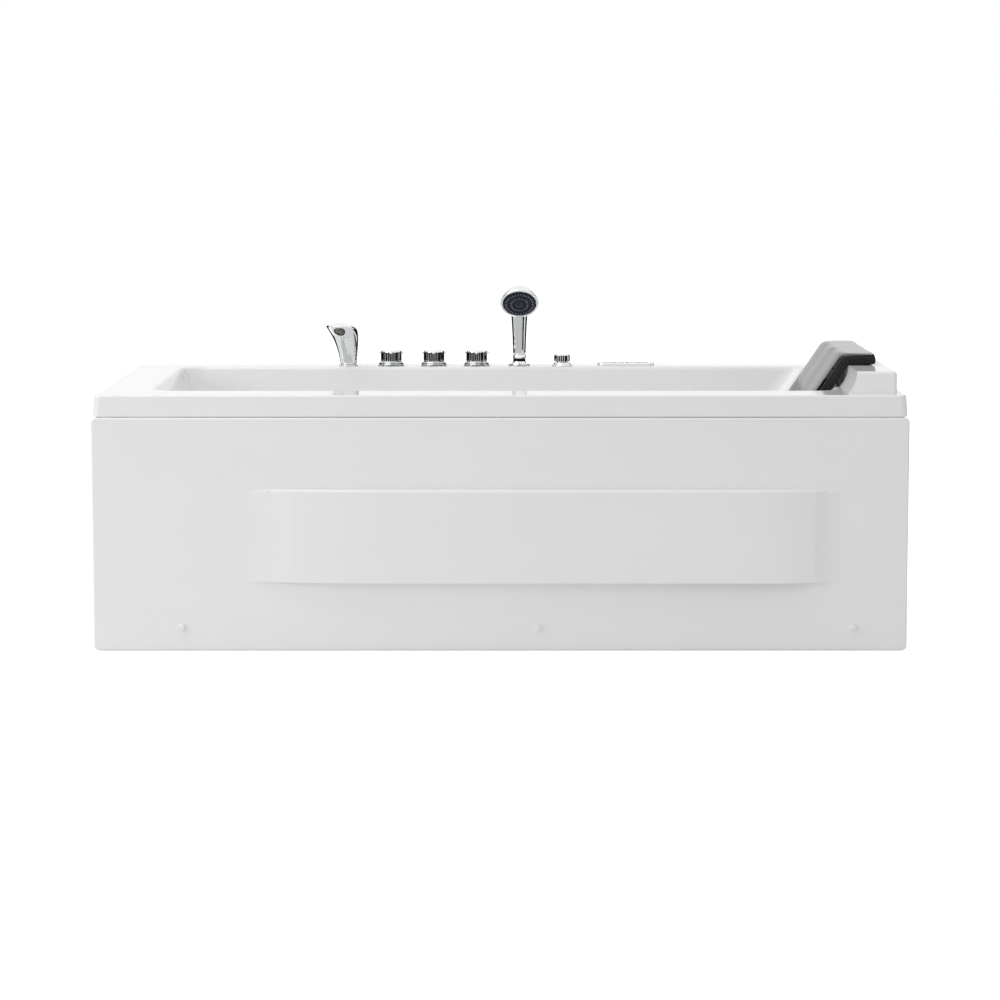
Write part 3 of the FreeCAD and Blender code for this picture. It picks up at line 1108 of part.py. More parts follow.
def make_pipes():
    """The water loop with its riser, the air loop with its feed, and the lengths between jets."""
    entry = "(socket_half - socket_depth)"
    first, middle, last = JET_X
    water, air = read("water_radius"), read("air_radius")
    wall = read("pipe_wall")

    def loop(ends_x, knee_x, far_x, y_pair, far_z, height, radius, bend):
        rear_y, fore_y = y_pair
        route = [point(ends_x, rear_y, height), point(knee_x, rear_y, height),
                 point(far_x, rear_y, far_z), point(far_x, fore_y, far_z),
                 point(knee_x, fore_y, height), point(ends_x, fore_y, height)]
        if knee_x == far_x:
            route = [route[0], route[2], route[3], route[5]]
        return pipe_shape(route, radius, bend, wall)

    water_loop = loop(f"{first} - {entry}", "loop_knee_x", "loop_x", ("rear_line_y", "front_line_y"),
                      "loop_z", "line_z", water, 45)
    riser_foot = point("riser_x", "riser_y", "pump_z + volute_radius + 18")
    riser_length = read("loop_z") - riser_foot[2]
    riser = Part.makeCylinder(water, riser_length, Vector(*riser_foot), Z_AXIS)
    riser_bore = Part.makeCylinder(water - wall, riser_length, Vector(*riser_foot), Z_AXIS)
    crossing = read("rear_line_y") - read("front_line_y")
    run_bore = Part.makeCylinder(water - wall, crossing - 200,
                                 Vector(read("loop_x"), read("front_line_y") + 100, read("loop_z")), Y_AXIS)
    water_loop = water_loop.fuse(riser).cut(riser_bore.fuse(run_bore))

    air_loop = loop(f"{last} + {entry}", "air_loop_x", "air_loop_x", ("rear_air_y", "front_air_y"),
                    "air_line_z", "air_line_z", air, 40)

    water_parts, air_parts = [feature("water_loop", water_loop)], [feature("air_loop", air_loop)]
    for side in ("rear", "front"):
        for before, after in ((first, middle), (middle, last)):
            number = len(water_parts)
            start, finish = f"{before} + {entry}", f"{after} - {entry}"
            water_parts.append(along_x(f"water_length_{number}", "water_radius", start, finish,
                                       f"{side}_line_y", "line_z"))
            if side == "rear" and after == last:
                continue
            air_parts.append(along_x(f"air_length_{number}", "air_radius", start, finish,
                                     f"{side}_air_y", "air_line_z"))
        water_parts.append(rod(f"water_end_{side}", "water_radius", "20", f"{last} + {entry}",
                               f"{side}_line_y", "line_z", ALONG_X))
        air_parts.append(rod(f"air_end_{side}", "air_radius", "20", f"{first} - {entry} - 20",
                             f"{side}_air_y", "air_line_z", ALONG_X))

    route = [point("air_x", "fitting_y", "rim_height - valve_depth + 12"),
             point("air_x", "fitting_y", "air_line_z + 90"), point("air_x", "rear_air_y", "air_line_z + 50"),
             point("air_x", "rear_air_y", "air_line_z")]
    feed = pipe_shape(route, air, 30, wall)
    start, finish = read(f"{middle} + {entry}"), read(f"{last} - {entry}")
    line_start = Vector(start, read("rear_air_y"), read("air_line_z"))
    outside = Part.makeCylinder(air, finish - start, line_start, X_AXIS)
    inside = Part.makeCylinder(air - wall, finish - start, line_start, X_AXIS)
    air_parts.append(feature("air_feed", feed.fuse(outside).cut(inside)))
    node(group("water_pipes", water_parts), "water_pipes")
    node(group("air_pipes", air_parts), "air_pipes")


# ---------------------------------------------------------------- deck fittings

def make_taps():
    """Three deck valves with their rosettes and handles, and the mixed water line."""
    tap_x = ["diverter_x", "hot_x", "cold_x"]
    deck = [(x, "fitting_y", "rim_height", UPRIGHT) for x in tap_x]
    valve = turned("deck_valve_barrel", [
        ("0", "-valve_depth - 16"), ("10.4", "-valve_depth - 16"), ("10.4", "-valve_depth"),
        ("shank_radius + 5", "-valve_depth"), ("shank_radius + 5", "-28"), ("shank_radius", "-24"),
        ("shank_radius", "7"), ("stem_radius", "7"), ("stem_radius", "stem_top"), ("0", "stem_top")])
    port = rod("deck_valve_port", "line_radius + 3.5", "56", "-28", "0", "-line_depth", ALONG_X)
    bores = [rod(f"deck_valve_bore_{number}", "line_radius + fit_gap", "9", x_rule, "0", "-line_depth",
                 ALONG_X) for number, x_rule in enumerate(("-29", "20"))]
    valve = cut("deck_valve", fuse("deck_valve_solid", valve, port), *bores)
    node(copies("deck_valves", valve, deck), "deck_valves")

    rosette = turned("tap_rosette", [
        ("shank_radius + seat_gap", "0"), ("rosette_radius", "0"), ("rosette_radius", "3.5"),
        ("rosette_radius - 1", "4.5"), ("rosette_radius - 4", "4.5"), ("rosette_radius - 4", "8"),
        ("rosette_radius - 5", "9"), ("shank_radius + seat_gap", "9")])
    node(copies("tap_rosettes", rosette, deck), "tap_rosettes")

    for name, x_rule in zip(("diverter_knob", "hot_knob", "cold_knob"), tap_x):
        grip = turned(name + "_grip", [
            ("stem_radius + fit_gap", "knob_base"), ("knob_radius", "knob_base"),
            ("knob_radius", "knob_top - 4"), ("knob_radius - 1.5", "knob_top - 2"),
            ("knob_radius - 8", "knob_top - 0.6"), ("0", "knob_top"), ("0", "stem_top + seat_gap"),
            ("stem_radius + fit_gap", "stem_top + seat_gap")])
        studs = [rod(f"{name}_stud_{number}", "lug_radius", "lug_reach - 18", "0", "0", "lug_height",
                     Rotation(Z_AXIS, 90 * number) * ALONG_X) for number in range(4)]
        moved = [set_stud(stud, number) for number, stud in enumerate(studs)]
        node(set_place(fuse(name, grip, *moved), x_rule, "fitting_y", "rim_height"), name)

    pieces = []
    for number, (left, right) in enumerate((("spout_x", "diverter_x"), ("diverter_x", "hot_x"),
                                            ("hot_x", "cold_x"))):
        pieces.append(along_x(f"mixed_line_{number}", "line_radius", f"{left} + 20", f"{right} - 20",
                              "fitting_y", "mixed_line_z"))
    node(group("mixed_water_line", pieces), "mixed_water_line")

    nut = cut("deck_nut", sized_nut("deck_nut"), rod("deck_nut_bore", "shank_radius + fit_gap",
                                                     "deck_nut_height + 2", "0", "0", "-1"))
    fittings = ["spout_x"] + tap_x + ["shower_x", "air_x"]
    node(copies("deck_nuts", nut, [(x, "fitting_y", "deck_under_z - deck_nut_height", UPRIGHT)
                                   for x in fittings]), "deck_nuts")


def sized_nut(name):
    """A six-sided blank for the nuts under the deck."""
    blank = sized("Prism", name + "_blank", {"Circumradius": "deck_nut_radius", "Height": "deck_nut_height"})
    blank.Polygon = 6
    return blank


def set_stud(stud, number):
    """Moves a handle's stud out from its axis."""
    angle = math.radians(90 * number)
    return set_place(stud, f"18 * {round(math.cos(angle))}", f"18 * {round(math.sin(angle))}",
                     "lug_height", Rotation(Z_AXIS, 90 * number) * ALONG_X)


def ellipse_wire(centre_x, centre_y, height, half_width, half_depth):
    """A level ellipse, half width along X and half depth along Y."""
    axis = X_AXIS if half_width >= half_depth else Y_AXIS
    long, short = max(half_width, half_depth), min(half_width, half_depth)
    ring = Part.Ellipse(Vector(), long, short).toShape()
    ring.Placement = Placement(Vector(centre_x, centre_y, height), Rotation(X_AXIS, axis))
    return Part.Wire(ring)


# Rings of the spout: height as a share of its rise, then how far each reaches to the foot end, to the
# head end, to the front and to the rear, as shares of the spout's sizes.
SPOUT_RINGS = [
    (0.200, 0.418, 0.816, 0.288, 0.95), (0.380, 0.506, 0.892, 0.383, 0.91), (0.540, 0.614, 0.960, 0.497, 0.90),
    (0.660, 0.714, 0.996, 0.618, 0.89), (0.750, 0.812, 1.000, 0.739, 0.87), (0.830, 0.902, 0.944, 0.852, 0.82),
    (0.890, 0.969, 0.800, 0.946, 0.73), (0.925, 1.000, 0.640, 1.000, 0.60), (0.955, 0.953, 0.384, 0.954, 0.35),
    (0.978, 0.831, 0.096, 0.806, 0.00), (1.000, 0.640, -0.36, 0.600, -0.50),
]


def make_spout():
    """The spout: a horn that flares forwards and to the foot end, with its shank and its aerator."""
    base, rise = read("spout_base_radius"), read("spout_rise")
    widths = read("spout_left"), read("spout_right"), read("spout_reach"), base
    rings = [ellipse_wire(0, 0, 0, base, base)]
    for up, *shares in SPOUT_RINGS:
        left, right, front, rear = (share * width for share, width in zip(shares, widths))
        rings.append(ellipse_wire((right - left) / 2, (rear - front) / 2, rise * up, (left + right) / 2,
                                  (front + rear) / 2))
    head = Part.makeLoft(rings, True, True)
    facing = Rotation(Z_AXIS, -read("spout_mouth_turn")).multVec(
        Vector(0, -read("cos(spout_mouth_down)"), -read("sin(spout_mouth_down)")))
    mouth = Vector(-read("spout_mouth_aside"), -read("spout_mouth_out"), read("spout_mouth_z"))
    pocket_depth = read("aerator_depth")
    pocket = Part.makeCylinder(read("aerator_radius + seat_gap"), pocket_depth + 30,
                               mouth - facing * pocket_depth, facing)
    head = feature("spout_head", head.cut(pocket))
    shank = turned("spout_shank", [
        ("0", "-valve_depth"), ("shank_radius", "-valve_depth"), ("shank_radius", "0"),
        ("spout_base_radius + 2", "0"), ("spout_base_radius + 2", "2.5"), ("0", "2.5")])
    port = rod("spout_port", "line_radius + 3.5", "28", "0", "0", "-line_depth", ALONG_X)
    bore = rod("spout_port_bore", "line_radius + fit_gap", "9", "20", "0", "-line_depth", ALONG_X)
    spout = cut("spout", fuse("spout_solid", head, shank, port), bore)
    node(set_place(spout, "spout_x", "fitting_y", "rim_height"), "spout")

    aerator = feature("aerator", Part.makeCylinder(read("aerator_radius"), pocket_depth - 2,
                                                   mouth - facing * pocket_depth, facing))
    node(set_place(aerator, "spout_x", "fitting_y", "rim_height"), "spout_aerator")


def make_hand_shower():
    """The hand shower in its cup: handle with its head, and the turning spray face."""
    deck = ("shower_x", "fitting_y", "rim_height")
    base = turned("shower_base", [
        ("10", "-valve_depth + 20"), ("shank_radius", "-valve_depth + 20"), ("shank_radius", "0"),
        ("shower_base_radius", "0"), ("shower_base_radius", "3"), ("shower_base_radius - 2", "4.5"),
        ("cup_radius", "6"), ("cup_radius", "cup_top"), ("handle_foot_radius + seat_gap", "cup_top"),
        ("handle_foot_radius + seat_gap", "7"), ("10", "7")], *deck)
    node(base, "shower_base")

    grip = turned("shower_grip", [
        ("0", "7.3"), ("handle_foot_radius", "7.3"), ("handle_foot_radius", "cup_top + 1"),
        ("handle_radius", "cup_top + 5"), ("handle_radius", "cup_top + 40"),
        ("handle_neck_radius", "shower_head_z - 38"), ("handle_neck_radius", "shower_head_z - 6"),
        ("handle_neck_radius - 6", "shower_head_z + 5"), ("0", "shower_head_z + 8")])
    head_turn = Rotation(X_AXIS, 90 + read("shower_tilt"))
    spot = ("0", "-shower_head_out", "shower_head_z", head_turn)
    head = turned("shower_head", [
        ("0", "-34"), ("20", "-33.2"), ("31.4", "-29.4"), ("38", "-21.4"), ("shower_head_radius - 3", "-14"),
        ("shower_head_radius", "-4"), ("shower_head_radius", "-1"), ("shower_head_radius - 1.5", "0"),
        ("shower_face_radius + seat_gap", "0"), ("shower_face_radius + seat_gap", "-5.3"),
        ("0", "-5.3")], *spot)
    room = rod("shower_face_room", "shower_face_radius + seat_gap", "60", "0",
               "-shower_head_out + 5.3 * cos(shower_tilt)", "shower_head_z + 5.3 * sin(shower_tilt)",
               head_turn)
    shower = cut("hand_shower", fuse("hand_shower_solid", grip, head), room)
    node(set_place(shower, *deck), "hand_shower")

    face = turned("spray_face", [
        ("0", "-5"), ("shower_face_radius", "-5"), ("shower_face_radius", "0"),
        ("shower_face_radius - 2", "1.5"), ("0", "2")],
        "shower_x", "shower_face_y", "shower_face_z", head_turn)
    node(face, "spray_face")


def make_air_control():
    """The air control: a valve with its rosette, and a fluted knob."""
    deck = ("air_x", "fitting_y", "rim_height")
    valve = turned("air_valve_barrel", [
        ("0", "-valve_depth"), ("shank_radius", "-valve_depth"), ("shank_radius", "0"),
        ("air_rosette_radius", "0"), ("air_rosette_radius", "air_rosette_height - 3"),
        ("air_rosette_radius - 3", "air_rosette_height"), ("shank_radius", "air_rosette_height"),
        ("shank_radius", "air_knob_base - 0.5"), ("stem_radius", "air_knob_base - 0.5"),
        ("stem_radius", "air_knob_top - 5"), ("0", "air_knob_top - 5")], *deck)
    bore = rod("air_valve_bore", "air_radius + fit_gap", "13", "air_x", "fitting_y",
               "rim_height - valve_depth - 1")
    node(cut("air_valve", valve, bore), "air_valve")
    knob = turned("air_knob_blank", [
        ("stem_radius + fit_gap", "air_knob_base"), ("air_knob_radius", "air_knob_base"),
        ("air_knob_radius", "air_knob_top - 2"), ("air_knob_radius - 2", "air_knob_top"),
        ("0", "air_knob_top"), ("0", "air_knob_top - 4.7"),
        ("stem_radius + fit_gap", "air_knob_top - 4.7")], *deck)
    flutes = []
    count = 20
    for number in range(count):
        angle = 2 * math.pi * number / count
        across, along = round(math.cos(angle), 5), round(math.sin(angle), 5)
        flutes.append(rod(f"air_knob_flute_{number}", "2", "30", f"(air_knob_radius + 0.9) * {across}",
                          f"(air_knob_radius + 0.9) * {along}", "air_knob_base - 2"))
    flutes = set_place(group("air_knob_flutes", flutes), *deck)
    node(cut("air_knob", knob, flutes), "air_knob")


def make_panel():
    """The control panel on the deck with its three push buttons."""
    end = "(panel_depth / 2)"
    straight = f"(panel_length / 2 - {end})"
    across = f"({end} * 0.999)"
    top = plate("panel_top", [
        (f"-{straight}", f"-{across}"), (straight, f"-{across}", end), (straight, across),
        (f"-{straight}", across, end)], "panel_height", "panel_x", "fitting_y", "rim_height")
    shell = box("panel_box", "panel_body_length", "panel_body_depth", "panel_body_drop",
                "panel_x - panel_body_length / 2", "fitting_y - panel_body_depth / 2",
                "rim_height - panel_body_drop")
    spots = [f"(panel_x + {step} * button_pitch)" for step in (-1, 0, 1)]
    wells = [rod(f"button_well_{number}", "button_radius + fit_gap", "10", x_rule, "fitting_y",
                 "rim_height + 2") for number, x_rule in enumerate(spots)]
    node(cut("control_panel", fuse("panel_solid", top, shell), *wells), "control_panel")
    for number, x_rule in enumerate(spots, 1):
        button = turned(f"button_{number}", [
            ("0", "0"), ("button_radius", "0"), ("button_radius", "panel_height + button_proud - 4"),
            ("button_radius - 0.8", "panel_height + button_proud - 3"),
            ("0", "panel_height + button_proud - 3")], x_rule, "fitting_y", "rim_height + 3")
        node(button, f"button_{number}")


# ---------------------------------------------------------------- pillow

def round_wire(corners):
    """A closed wire through (point, radius) corners, each rounded by an arc."""
    edges, ends = [], []
    count = len(corners)
    for number, (corner, radius) in enumerate(corners):
        before, after = corners[number - 1][0], corners[(number + 1) % count][0]
        arriving, leaving = (corner - before).normalize(), (after - corner).normalize()
        half = arriving.getAngle(leaving) / 2
        tangent = radius * math.tan(half)
        first, last = corner - arriving * tangent, corner + leaving * tangent
        middle = corner + (leaving - arriving).normalize() * (radius / math.cos(half) - radius)
        ends.append((first, middle, last))
    for number, (first, middle, last) in enumerate(ends):
        edges.append(Part.Arc(first, middle, last).toShape())
        following = ends[(number + 1) % count][0]
        edges.append(Part.LineSegment(last, following).toShape())
    return Part.Wire(edges)


def make_pillow():
    """The pillow that hooks over the raised end: fullest in the middle, drawn in at its ends."""
    slope = math.radians(read("backrest_slope"))
    corner = Vector(read("head_inner_x"), 0, read("head_top_z"))
    down = Vector(-math.cos(slope), 0, -math.sin(slope))
    gap, full = read("pillow_gap"), read("pillow_thick")
    top_length, slope_length = read("pillow_top_length"), read("pillow_slope_length")
    half_width = read("pillow_width") / 2
    wires = []
    for share, drawn in ((-1, 1.0), (-0.9, 0.45), (-0.55, 0.1), (0, 0.0), (0.55, 0.1), (0.9, 0.45), (1, 1.0)):
        thin = full - drawn * read("pillow_crown")
        shorter = drawn * read("pillow_crown")
        offset = Vector(0, read("rim_middle_y") + share * half_width, 0)

        def bend(lift):
            return corner + offset + Vector(-lift * math.tan(slope / 2), 0, lift)
        inner, outer = bend(gap), bend(gap + thin)
        right = Vector(corner.x + top_length - shorter, offset.y, 0)
        corners = [
            (Vector(right.x, right.y, inner.z), 4), (Vector(right.x, right.y, outer.z), 9),
            (outer, 16), (outer + down * (slope_length - shorter), 9),
            (inner + down * (slope_length - shorter), 5), (inner, 2)]
        wires.append(round_wire(corners))
    node(feature("pillow", Part.makeLoft(wires, True, False)), "pillow")


# ---------------------------------------------------------------- save

def save_parts():
    """Checks every object, then writes one file per piece."""
    document.recompute()
    for thing in document.Objects:
        if "Invalid" in thing.State or "Error" in thing.State:
            raise RuntimeError(f"{thing.Label} failed: {thing.State}")
    broken = [name for name, piece in NODES
              if piece.Shape.isNull() or not piece.Shape.isValid() or not piece.Shape.Solids]
    if broken:
        raise RuntimeError(f"no valid shape: {broken}")
    os.makedirs("parts", exist_ok=True)
    for name, piece in NODES:
        piece.Shape.exportStep(f"parts/{name}.step")


make_shell()
make_apron()
make_frame()
make_waste()
make_suction()
make_pump()
make_jets()
make_pipes()
make_taps()
make_spout()
make_hand_shower()
make_air_control()
make_panel()
make_pillow()
save_parts()
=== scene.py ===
"""Looks of a jetted bathtub: glossy acrylic shell and apron, chrome deck fittings, pillow, frame and pump."""

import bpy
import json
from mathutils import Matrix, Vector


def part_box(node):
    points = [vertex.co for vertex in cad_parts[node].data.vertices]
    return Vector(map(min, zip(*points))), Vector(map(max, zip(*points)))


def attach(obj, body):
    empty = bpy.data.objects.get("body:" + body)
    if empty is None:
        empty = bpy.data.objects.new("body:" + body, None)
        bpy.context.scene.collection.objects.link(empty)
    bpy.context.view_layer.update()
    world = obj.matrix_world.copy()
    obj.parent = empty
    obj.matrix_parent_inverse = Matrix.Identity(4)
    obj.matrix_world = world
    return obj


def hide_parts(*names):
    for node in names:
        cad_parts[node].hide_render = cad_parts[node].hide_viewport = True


bl_info = {
    "name": "Jetted Bathtub",
    "version": (1, 0, 0),
    "blender": (4, 5, 0),
    "location": "View3D > Sidebar > Bathtub",
    "description": "Dresses the packed bathtub with its visible fittings, finishes, light and camera",
    "category": "Object",
}

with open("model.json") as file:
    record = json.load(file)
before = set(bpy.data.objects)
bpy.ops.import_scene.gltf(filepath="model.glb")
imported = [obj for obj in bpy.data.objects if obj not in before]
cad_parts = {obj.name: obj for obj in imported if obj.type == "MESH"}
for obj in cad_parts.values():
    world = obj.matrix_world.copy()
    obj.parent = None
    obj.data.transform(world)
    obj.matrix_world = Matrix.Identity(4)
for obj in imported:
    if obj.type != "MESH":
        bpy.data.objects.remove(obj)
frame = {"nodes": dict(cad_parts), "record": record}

import json
import math

import bmesh
import bpy
from bpy.props import FloatProperty, FloatVectorProperty, IntProperty, PointerProperty
from mathutils import Matrix, Vector

MM = 0.001
TURN = 2 * math.pi
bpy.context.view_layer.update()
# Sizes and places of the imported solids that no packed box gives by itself, in metres.
SPOUT_X = -0.353
HEAD_CORNER, HEAD_RISE = 0.746, 0.046
BACKREST_SLOPE = math.radians(56)
PILLOW_GAP = 0.3 * MM
SHELL_WALL = 6 * MM


# ---------------------------------------------------------------- colours and sizes

def linear(code):
    """An sRGB hex colour as linear red, green and blue."""
    parts = [int(code[i:i + 2], 16) / 255 for i in (0, 2, 4)]
    return [p / 12.92 if p <= 0.04045 else ((p + 0.055) / 1.055) ** 2.4 for p in parts]


def colour(name, words, code):
    return FloatVectorProperty(name=name, description=words, subtype="COLOR", size=3, min=0, max=1,
                               default=linear(code))


def length(name, words, millimetres):
    return FloatProperty(name=name, description=words, subtype="DISTANCE", unit="LENGTH",
                         default=millimetres * MM)


class BathtubColours(bpy.types.PropertyGroup):
    """Colours of the bathtub's finishes."""
    acrylic: colour("Acrylic", "Polished sanitary acrylic", "F1F2F1")
    resin: colour("Resin", "Glass fibre backing behind the acrylic", "D5D2BF")
    chrome: colour("Chrome", "Bright plate on the fittings", "EFF0F2")
    steel: colour("Galvanised steel", "Zinc-coated frame tube", "A9AEB0")
    plywood: colour("Plywood", "Bearer boards", "B98F5E")
    pipe: colour("Pipe", "Extruded white pipe", "E9E9E4")
    waste: colour("Waste", "Moulded grey waste fittings", "7C7F80")
    nylon: colour("Nylon", "Glass-filled black moulding", "1D1E20")
    motor: colour("Motor", "Satin enamel on the motor", "2C4766")
    pillow: colour("Pillow", "Skin of the foam pillow", "0B0B0C")
    spray: colour("Spray face", "Dark moulded spray plate", "141B2A")
    nozzle: colour("Spray nozzle", "Soft nozzles of the spray plate", "B9C0CC")


class BathtubSizes(bpy.types.PropertyGroup):
    """Sizes of the pieces that are made here."""
    handle_radius: length("Handle radius", "Radius of a tap handle", 24.5)
    handle_base: length("Handle base", "Underside of a handle above the deck", 9.5)
    handle_top: length("Handle top", "Top of a handle above the deck", 37)
    stud_height: length("Stud height", "Middle of the handle's studs above the deck", 31)
    stud_reach: length("Stud reach", "How far a stud's end is from the handle's axis", 28.5)
    head_radius: length("Head radius", "Radius of the shower head", 44)
    face_radius: length("Face radius", "Radius of the spray face", 38)
    head_height: length("Head height", "Middle of the spray face above the deck", 146)
    head_out: length("Head reach", "Middle of the spray face before the handle's axis", 44)
    head_tilt: FloatProperty(name="Head tilt", description="Degrees that the spray face looks down",
                             subtype="ANGLE", default=math.radians(41))
    pillow_swell: length("Pillow swell", "How far the pillow's skin may swell", 2.2)
    facets: IntProperty(name="Facets", description="Sides of a round piece", default=72, min=24)


class BathtubStudio(bpy.types.PropertyGroup):
    """Where the camera stands and how bright the studio is."""
    distance: length("Distance", "Camera in front of the tub's middle", 6384.2)
    height: length("Height", "Camera above the floor", 1103.6)
    aside: length("Aside", "Camera to the right of the tub's middle", -0.4)
    pitch: FloatProperty(name="Pitch", description="Angle that the camera looks down", subtype="ANGLE",
                         default=math.radians(5.873))
    lens: FloatProperty(name="Lens", description="Focal length in millimetres", default=104.623)
    shift: FloatProperty(name="Shift", description="Upward shift of the frame", default=-0.08)


def sizes():
    return bpy.context.scene.bathtub_sizes


def colours():
    return bpy.context.scene.bathtub_colours


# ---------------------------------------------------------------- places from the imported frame

def middle(name):
    """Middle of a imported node."""
    low, high = (Vector(corner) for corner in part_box(name))
    return (low + high) / 2


def deck_level():
    """Height of the deck, which the rosettes stand on."""
    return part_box("tap_rosettes")[0][2]


def deck_spot(name):
    """The point of the deck under a fitting's middle."""
    spot = middle(name)
    return Vector((spot.x, middle("tap_rosettes").y, deck_level()))


# ---------------------------------------------------------------- materials

def add(tree, kind, links=None, **settings):
    """Adds a shader node with its settings, values and links."""
    made = tree.nodes.new(kind)
    for key, value in settings.items():
        setattr(made, key, value)
    for key, value in (links or {}).items():
        if isinstance(value, bpy.types.NodeSocket):
            tree.links.new(value, made.inputs[key])
        else:
            made.inputs[key].default_value = value
    return made


def start(name, **values):
    """A material with its shader, its place node and the values that are the same all over."""
    material = bpy.data.materials.new(name)
    material.use_nodes = True
    tree = material.node_tree
    tree.nodes.clear()
    shader = add(tree, "ShaderNodeBsdfPrincipled", values)
    output = add(tree, "ShaderNodeOutputMaterial", {"Surface": shader.outputs[0]})
    output.location = (300, 0)
    place = add(tree, "ShaderNodeTexCoord").outputs["Object"]
    return material, tree, shader, place


def mottle(tree, place, size, low, high, detail=3.0, stretch=(1, 1, 1)):
    """Soft noise of a size in millimetres, from low to high."""
    spread = add(tree, "ShaderNodeMapping", {"Vector": place, "Scale": stretch}).outputs[0]
    cloud = add(tree, "ShaderNodeTexNoise", {"Vector": spread, "Scale": 1 / (size * MM), "Detail": detail})
    ranged = add(tree, "ShaderNodeMapRange", {
        "Value": cloud.outputs["Fac"], "From Min": 0.3, "From Max": 0.7, "To Min": low, "To Max": high})
    return ranged.outputs[0]


def blend(tree, share, first, second):
    """A colour that goes from first to second as share rises."""
    mix = add(tree, "ShaderNodeMix", {"Factor": share}, data_type="RGBA")
    for socket, value in (("A", first), ("B", second)):
        target = next(s for s in mix.inputs if s.name == socket and s.type == "RGBA")
        if isinstance(value, bpy.types.NodeSocket):
            tree.links.new(value, target)
        else:
            target.default_value = (*value[:3], 1)
    return next(s for s in mix.outputs if s.type == "RGBA")


def shade(value, share):
    """A colour made darker or lighter by a share."""
    return [min(1, part * share) for part in value]


def surface(name, base, rough, tint=0.95, tint_size=40, rough_spread=0.25, grain=0.6, depth=0.01,
            stretch=(1, 1, 1), **values):
    """A finish with mottled colour, uneven polish and a fine grain, sizes in millimetres."""
    material, tree, shader, place = start(name, **{key.replace("_", " "): value
                                                   for key, value in values.items()})
    patchy = mottle(tree, place, tint_size, 0, 1, stretch=stretch)
    tree.links.new(blend(tree, patchy, base, shade(base, tint)), shader.inputs["Base Color"])
    polish = mottle(tree, place, tint_size * 0.6, rough * (1 - rough_spread), rough * (1 + rough_spread),
                    stretch=stretch)
    tree.links.new(polish, shader.inputs["Roughness"])
    bump = add(tree, "ShaderNodeBump", {"Height": mottle(tree, place, grain, 0, 1, 2, stretch),
                                        "Distance": depth * MM, "Strength": 1.0})
    tree.links.new(bump.outputs[0], shader.inputs["Normal"])
    return material


def backed_acrylic(name, backed):
    """Acrylic sheet whose back is chopped glass fibre in resin: backed gives the share that is the back."""
    material, tree, shader, place = start(name, **{"IOR": 1.49})
    base, resin = colours().acrylic[:], colours().resin[:]
    share = backed(tree, place)
    # Polished face: a very faint cloud in the colour and long, shallow waves from forming the sheet.
    front = blend(tree, mottle(tree, place, 180, 0, 1), base, shade(base, 0.985))
    # Back: strands about 50 mm long lie every way under the resin.
    strands = blend(tree, mottle(tree, place, 3, 0, 1, 4, (0.12, 1, 1)),
                    blend(tree, mottle(tree, place, 4, 0, 1, 4, (1, 0.12, 0.3)), resin, shade(resin, 0.78)),
                    shade(resin, 1.12))
    tree.links.new(blend(tree, share, front, strands), shader.inputs["Base Color"])
    rough = add(tree, "ShaderNodeMix", {"Factor": share}, data_type="FLOAT")
    tree.links.new(mottle(tree, place, 90, 0.06, 0.11), rough.inputs["A"])
    tree.links.new(mottle(tree, place, 12, 0.42, 0.62), rough.inputs["B"])
    tree.links.new(rough.outputs[0], shader.inputs["Roughness"])
    waves = add(tree, "ShaderNodeBump", {"Height": mottle(tree, place, 70, 0, 1, 1),
                                         "Distance": 0.05 * MM, "Strength": 1.0}).outputs[0]
    lumps = add(tree, "ShaderNodeBump", {"Height": mottle(tree, place, 5, 0, 1, 4, (0.2, 1, 0.5)),
                                         "Distance": 1.2 * MM, "Strength": share, "Normal": waves})
    tree.links.new(lumps.outputs[0], shader.inputs["Normal"])
    return material


def beyond(tree, value, limit, below=False):
    """1 where a value is above a limit, or below it."""
    return add(tree, "ShaderNodeMath", {0: value, 1: limit},
               operation="LESS_THAN" if below else "GREATER_THAN").outputs[0]


def maths(tree, first, second, operation="MULTIPLY"):
    """The product of two values, or what another operation makes of them."""
    return add(tree, "ShaderNodeMath", {0: first, 1: second}, operation=operation).outputs[0]


def shell_back(tree, place):
    """The shell's underside: it faces away from the basin, below the deck and inside the rim."""
    facing = add(tree, "ShaderNodeSeparateXYZ", {0: add(tree, "ShaderNodeNewGeometry").outputs["Normal"]})
    spot = add(tree, "ShaderNodeSeparateXYZ", {0: place})
    low, high = (Vector(corner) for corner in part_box("tub_shell"))
    centre = (low + high) / 2
    terms = []
    for axis in (0, 1):
        offset = maths(tree, spot.outputs[axis], centre[axis], "SUBTRACT")
        terms.append(maths(tree, facing.outputs[axis], maths(tree, offset, (high - low)[axis], "DIVIDE")))
    outward = beyond(tree, maths(tree, *terms, "ADD"), 0.02)
    inside = beyond(tree, spot.outputs[2], deck_level() - SHELL_WALL / 2, below=True)
    for axis in (0, 1):
        distance = add(tree, "ShaderNodeMath", {0: maths(tree, spot.outputs[axis], centre[axis], "SUBTRACT")},
                       operation="ABSOLUTE").outputs[0]
        limit = (high - low)[axis] / 2 - 1.05 * SHELL_WALL
        inside = maths(tree, inside, beyond(tree, distance, limit, below=True))
    not_up = beyond(tree, facing.outputs[2], 0.3, below=True)
    under = maths(tree, inside, maths(tree, not_up, outward))
    down = maths(tree, inside, beyond(tree, facing.outputs[2], -0.2, below=True))
    return maths(tree, under, down, "MAXIMUM")


def apron_back(tree, place):
    """The apron's rear, which faces the frame."""
    facing = add(tree, "ShaderNodeSeparateXYZ", {0: add(tree, "ShaderNodeNewGeometry").outputs["Normal"]})
    return beyond(tree, facing.outputs[1], 0.4)


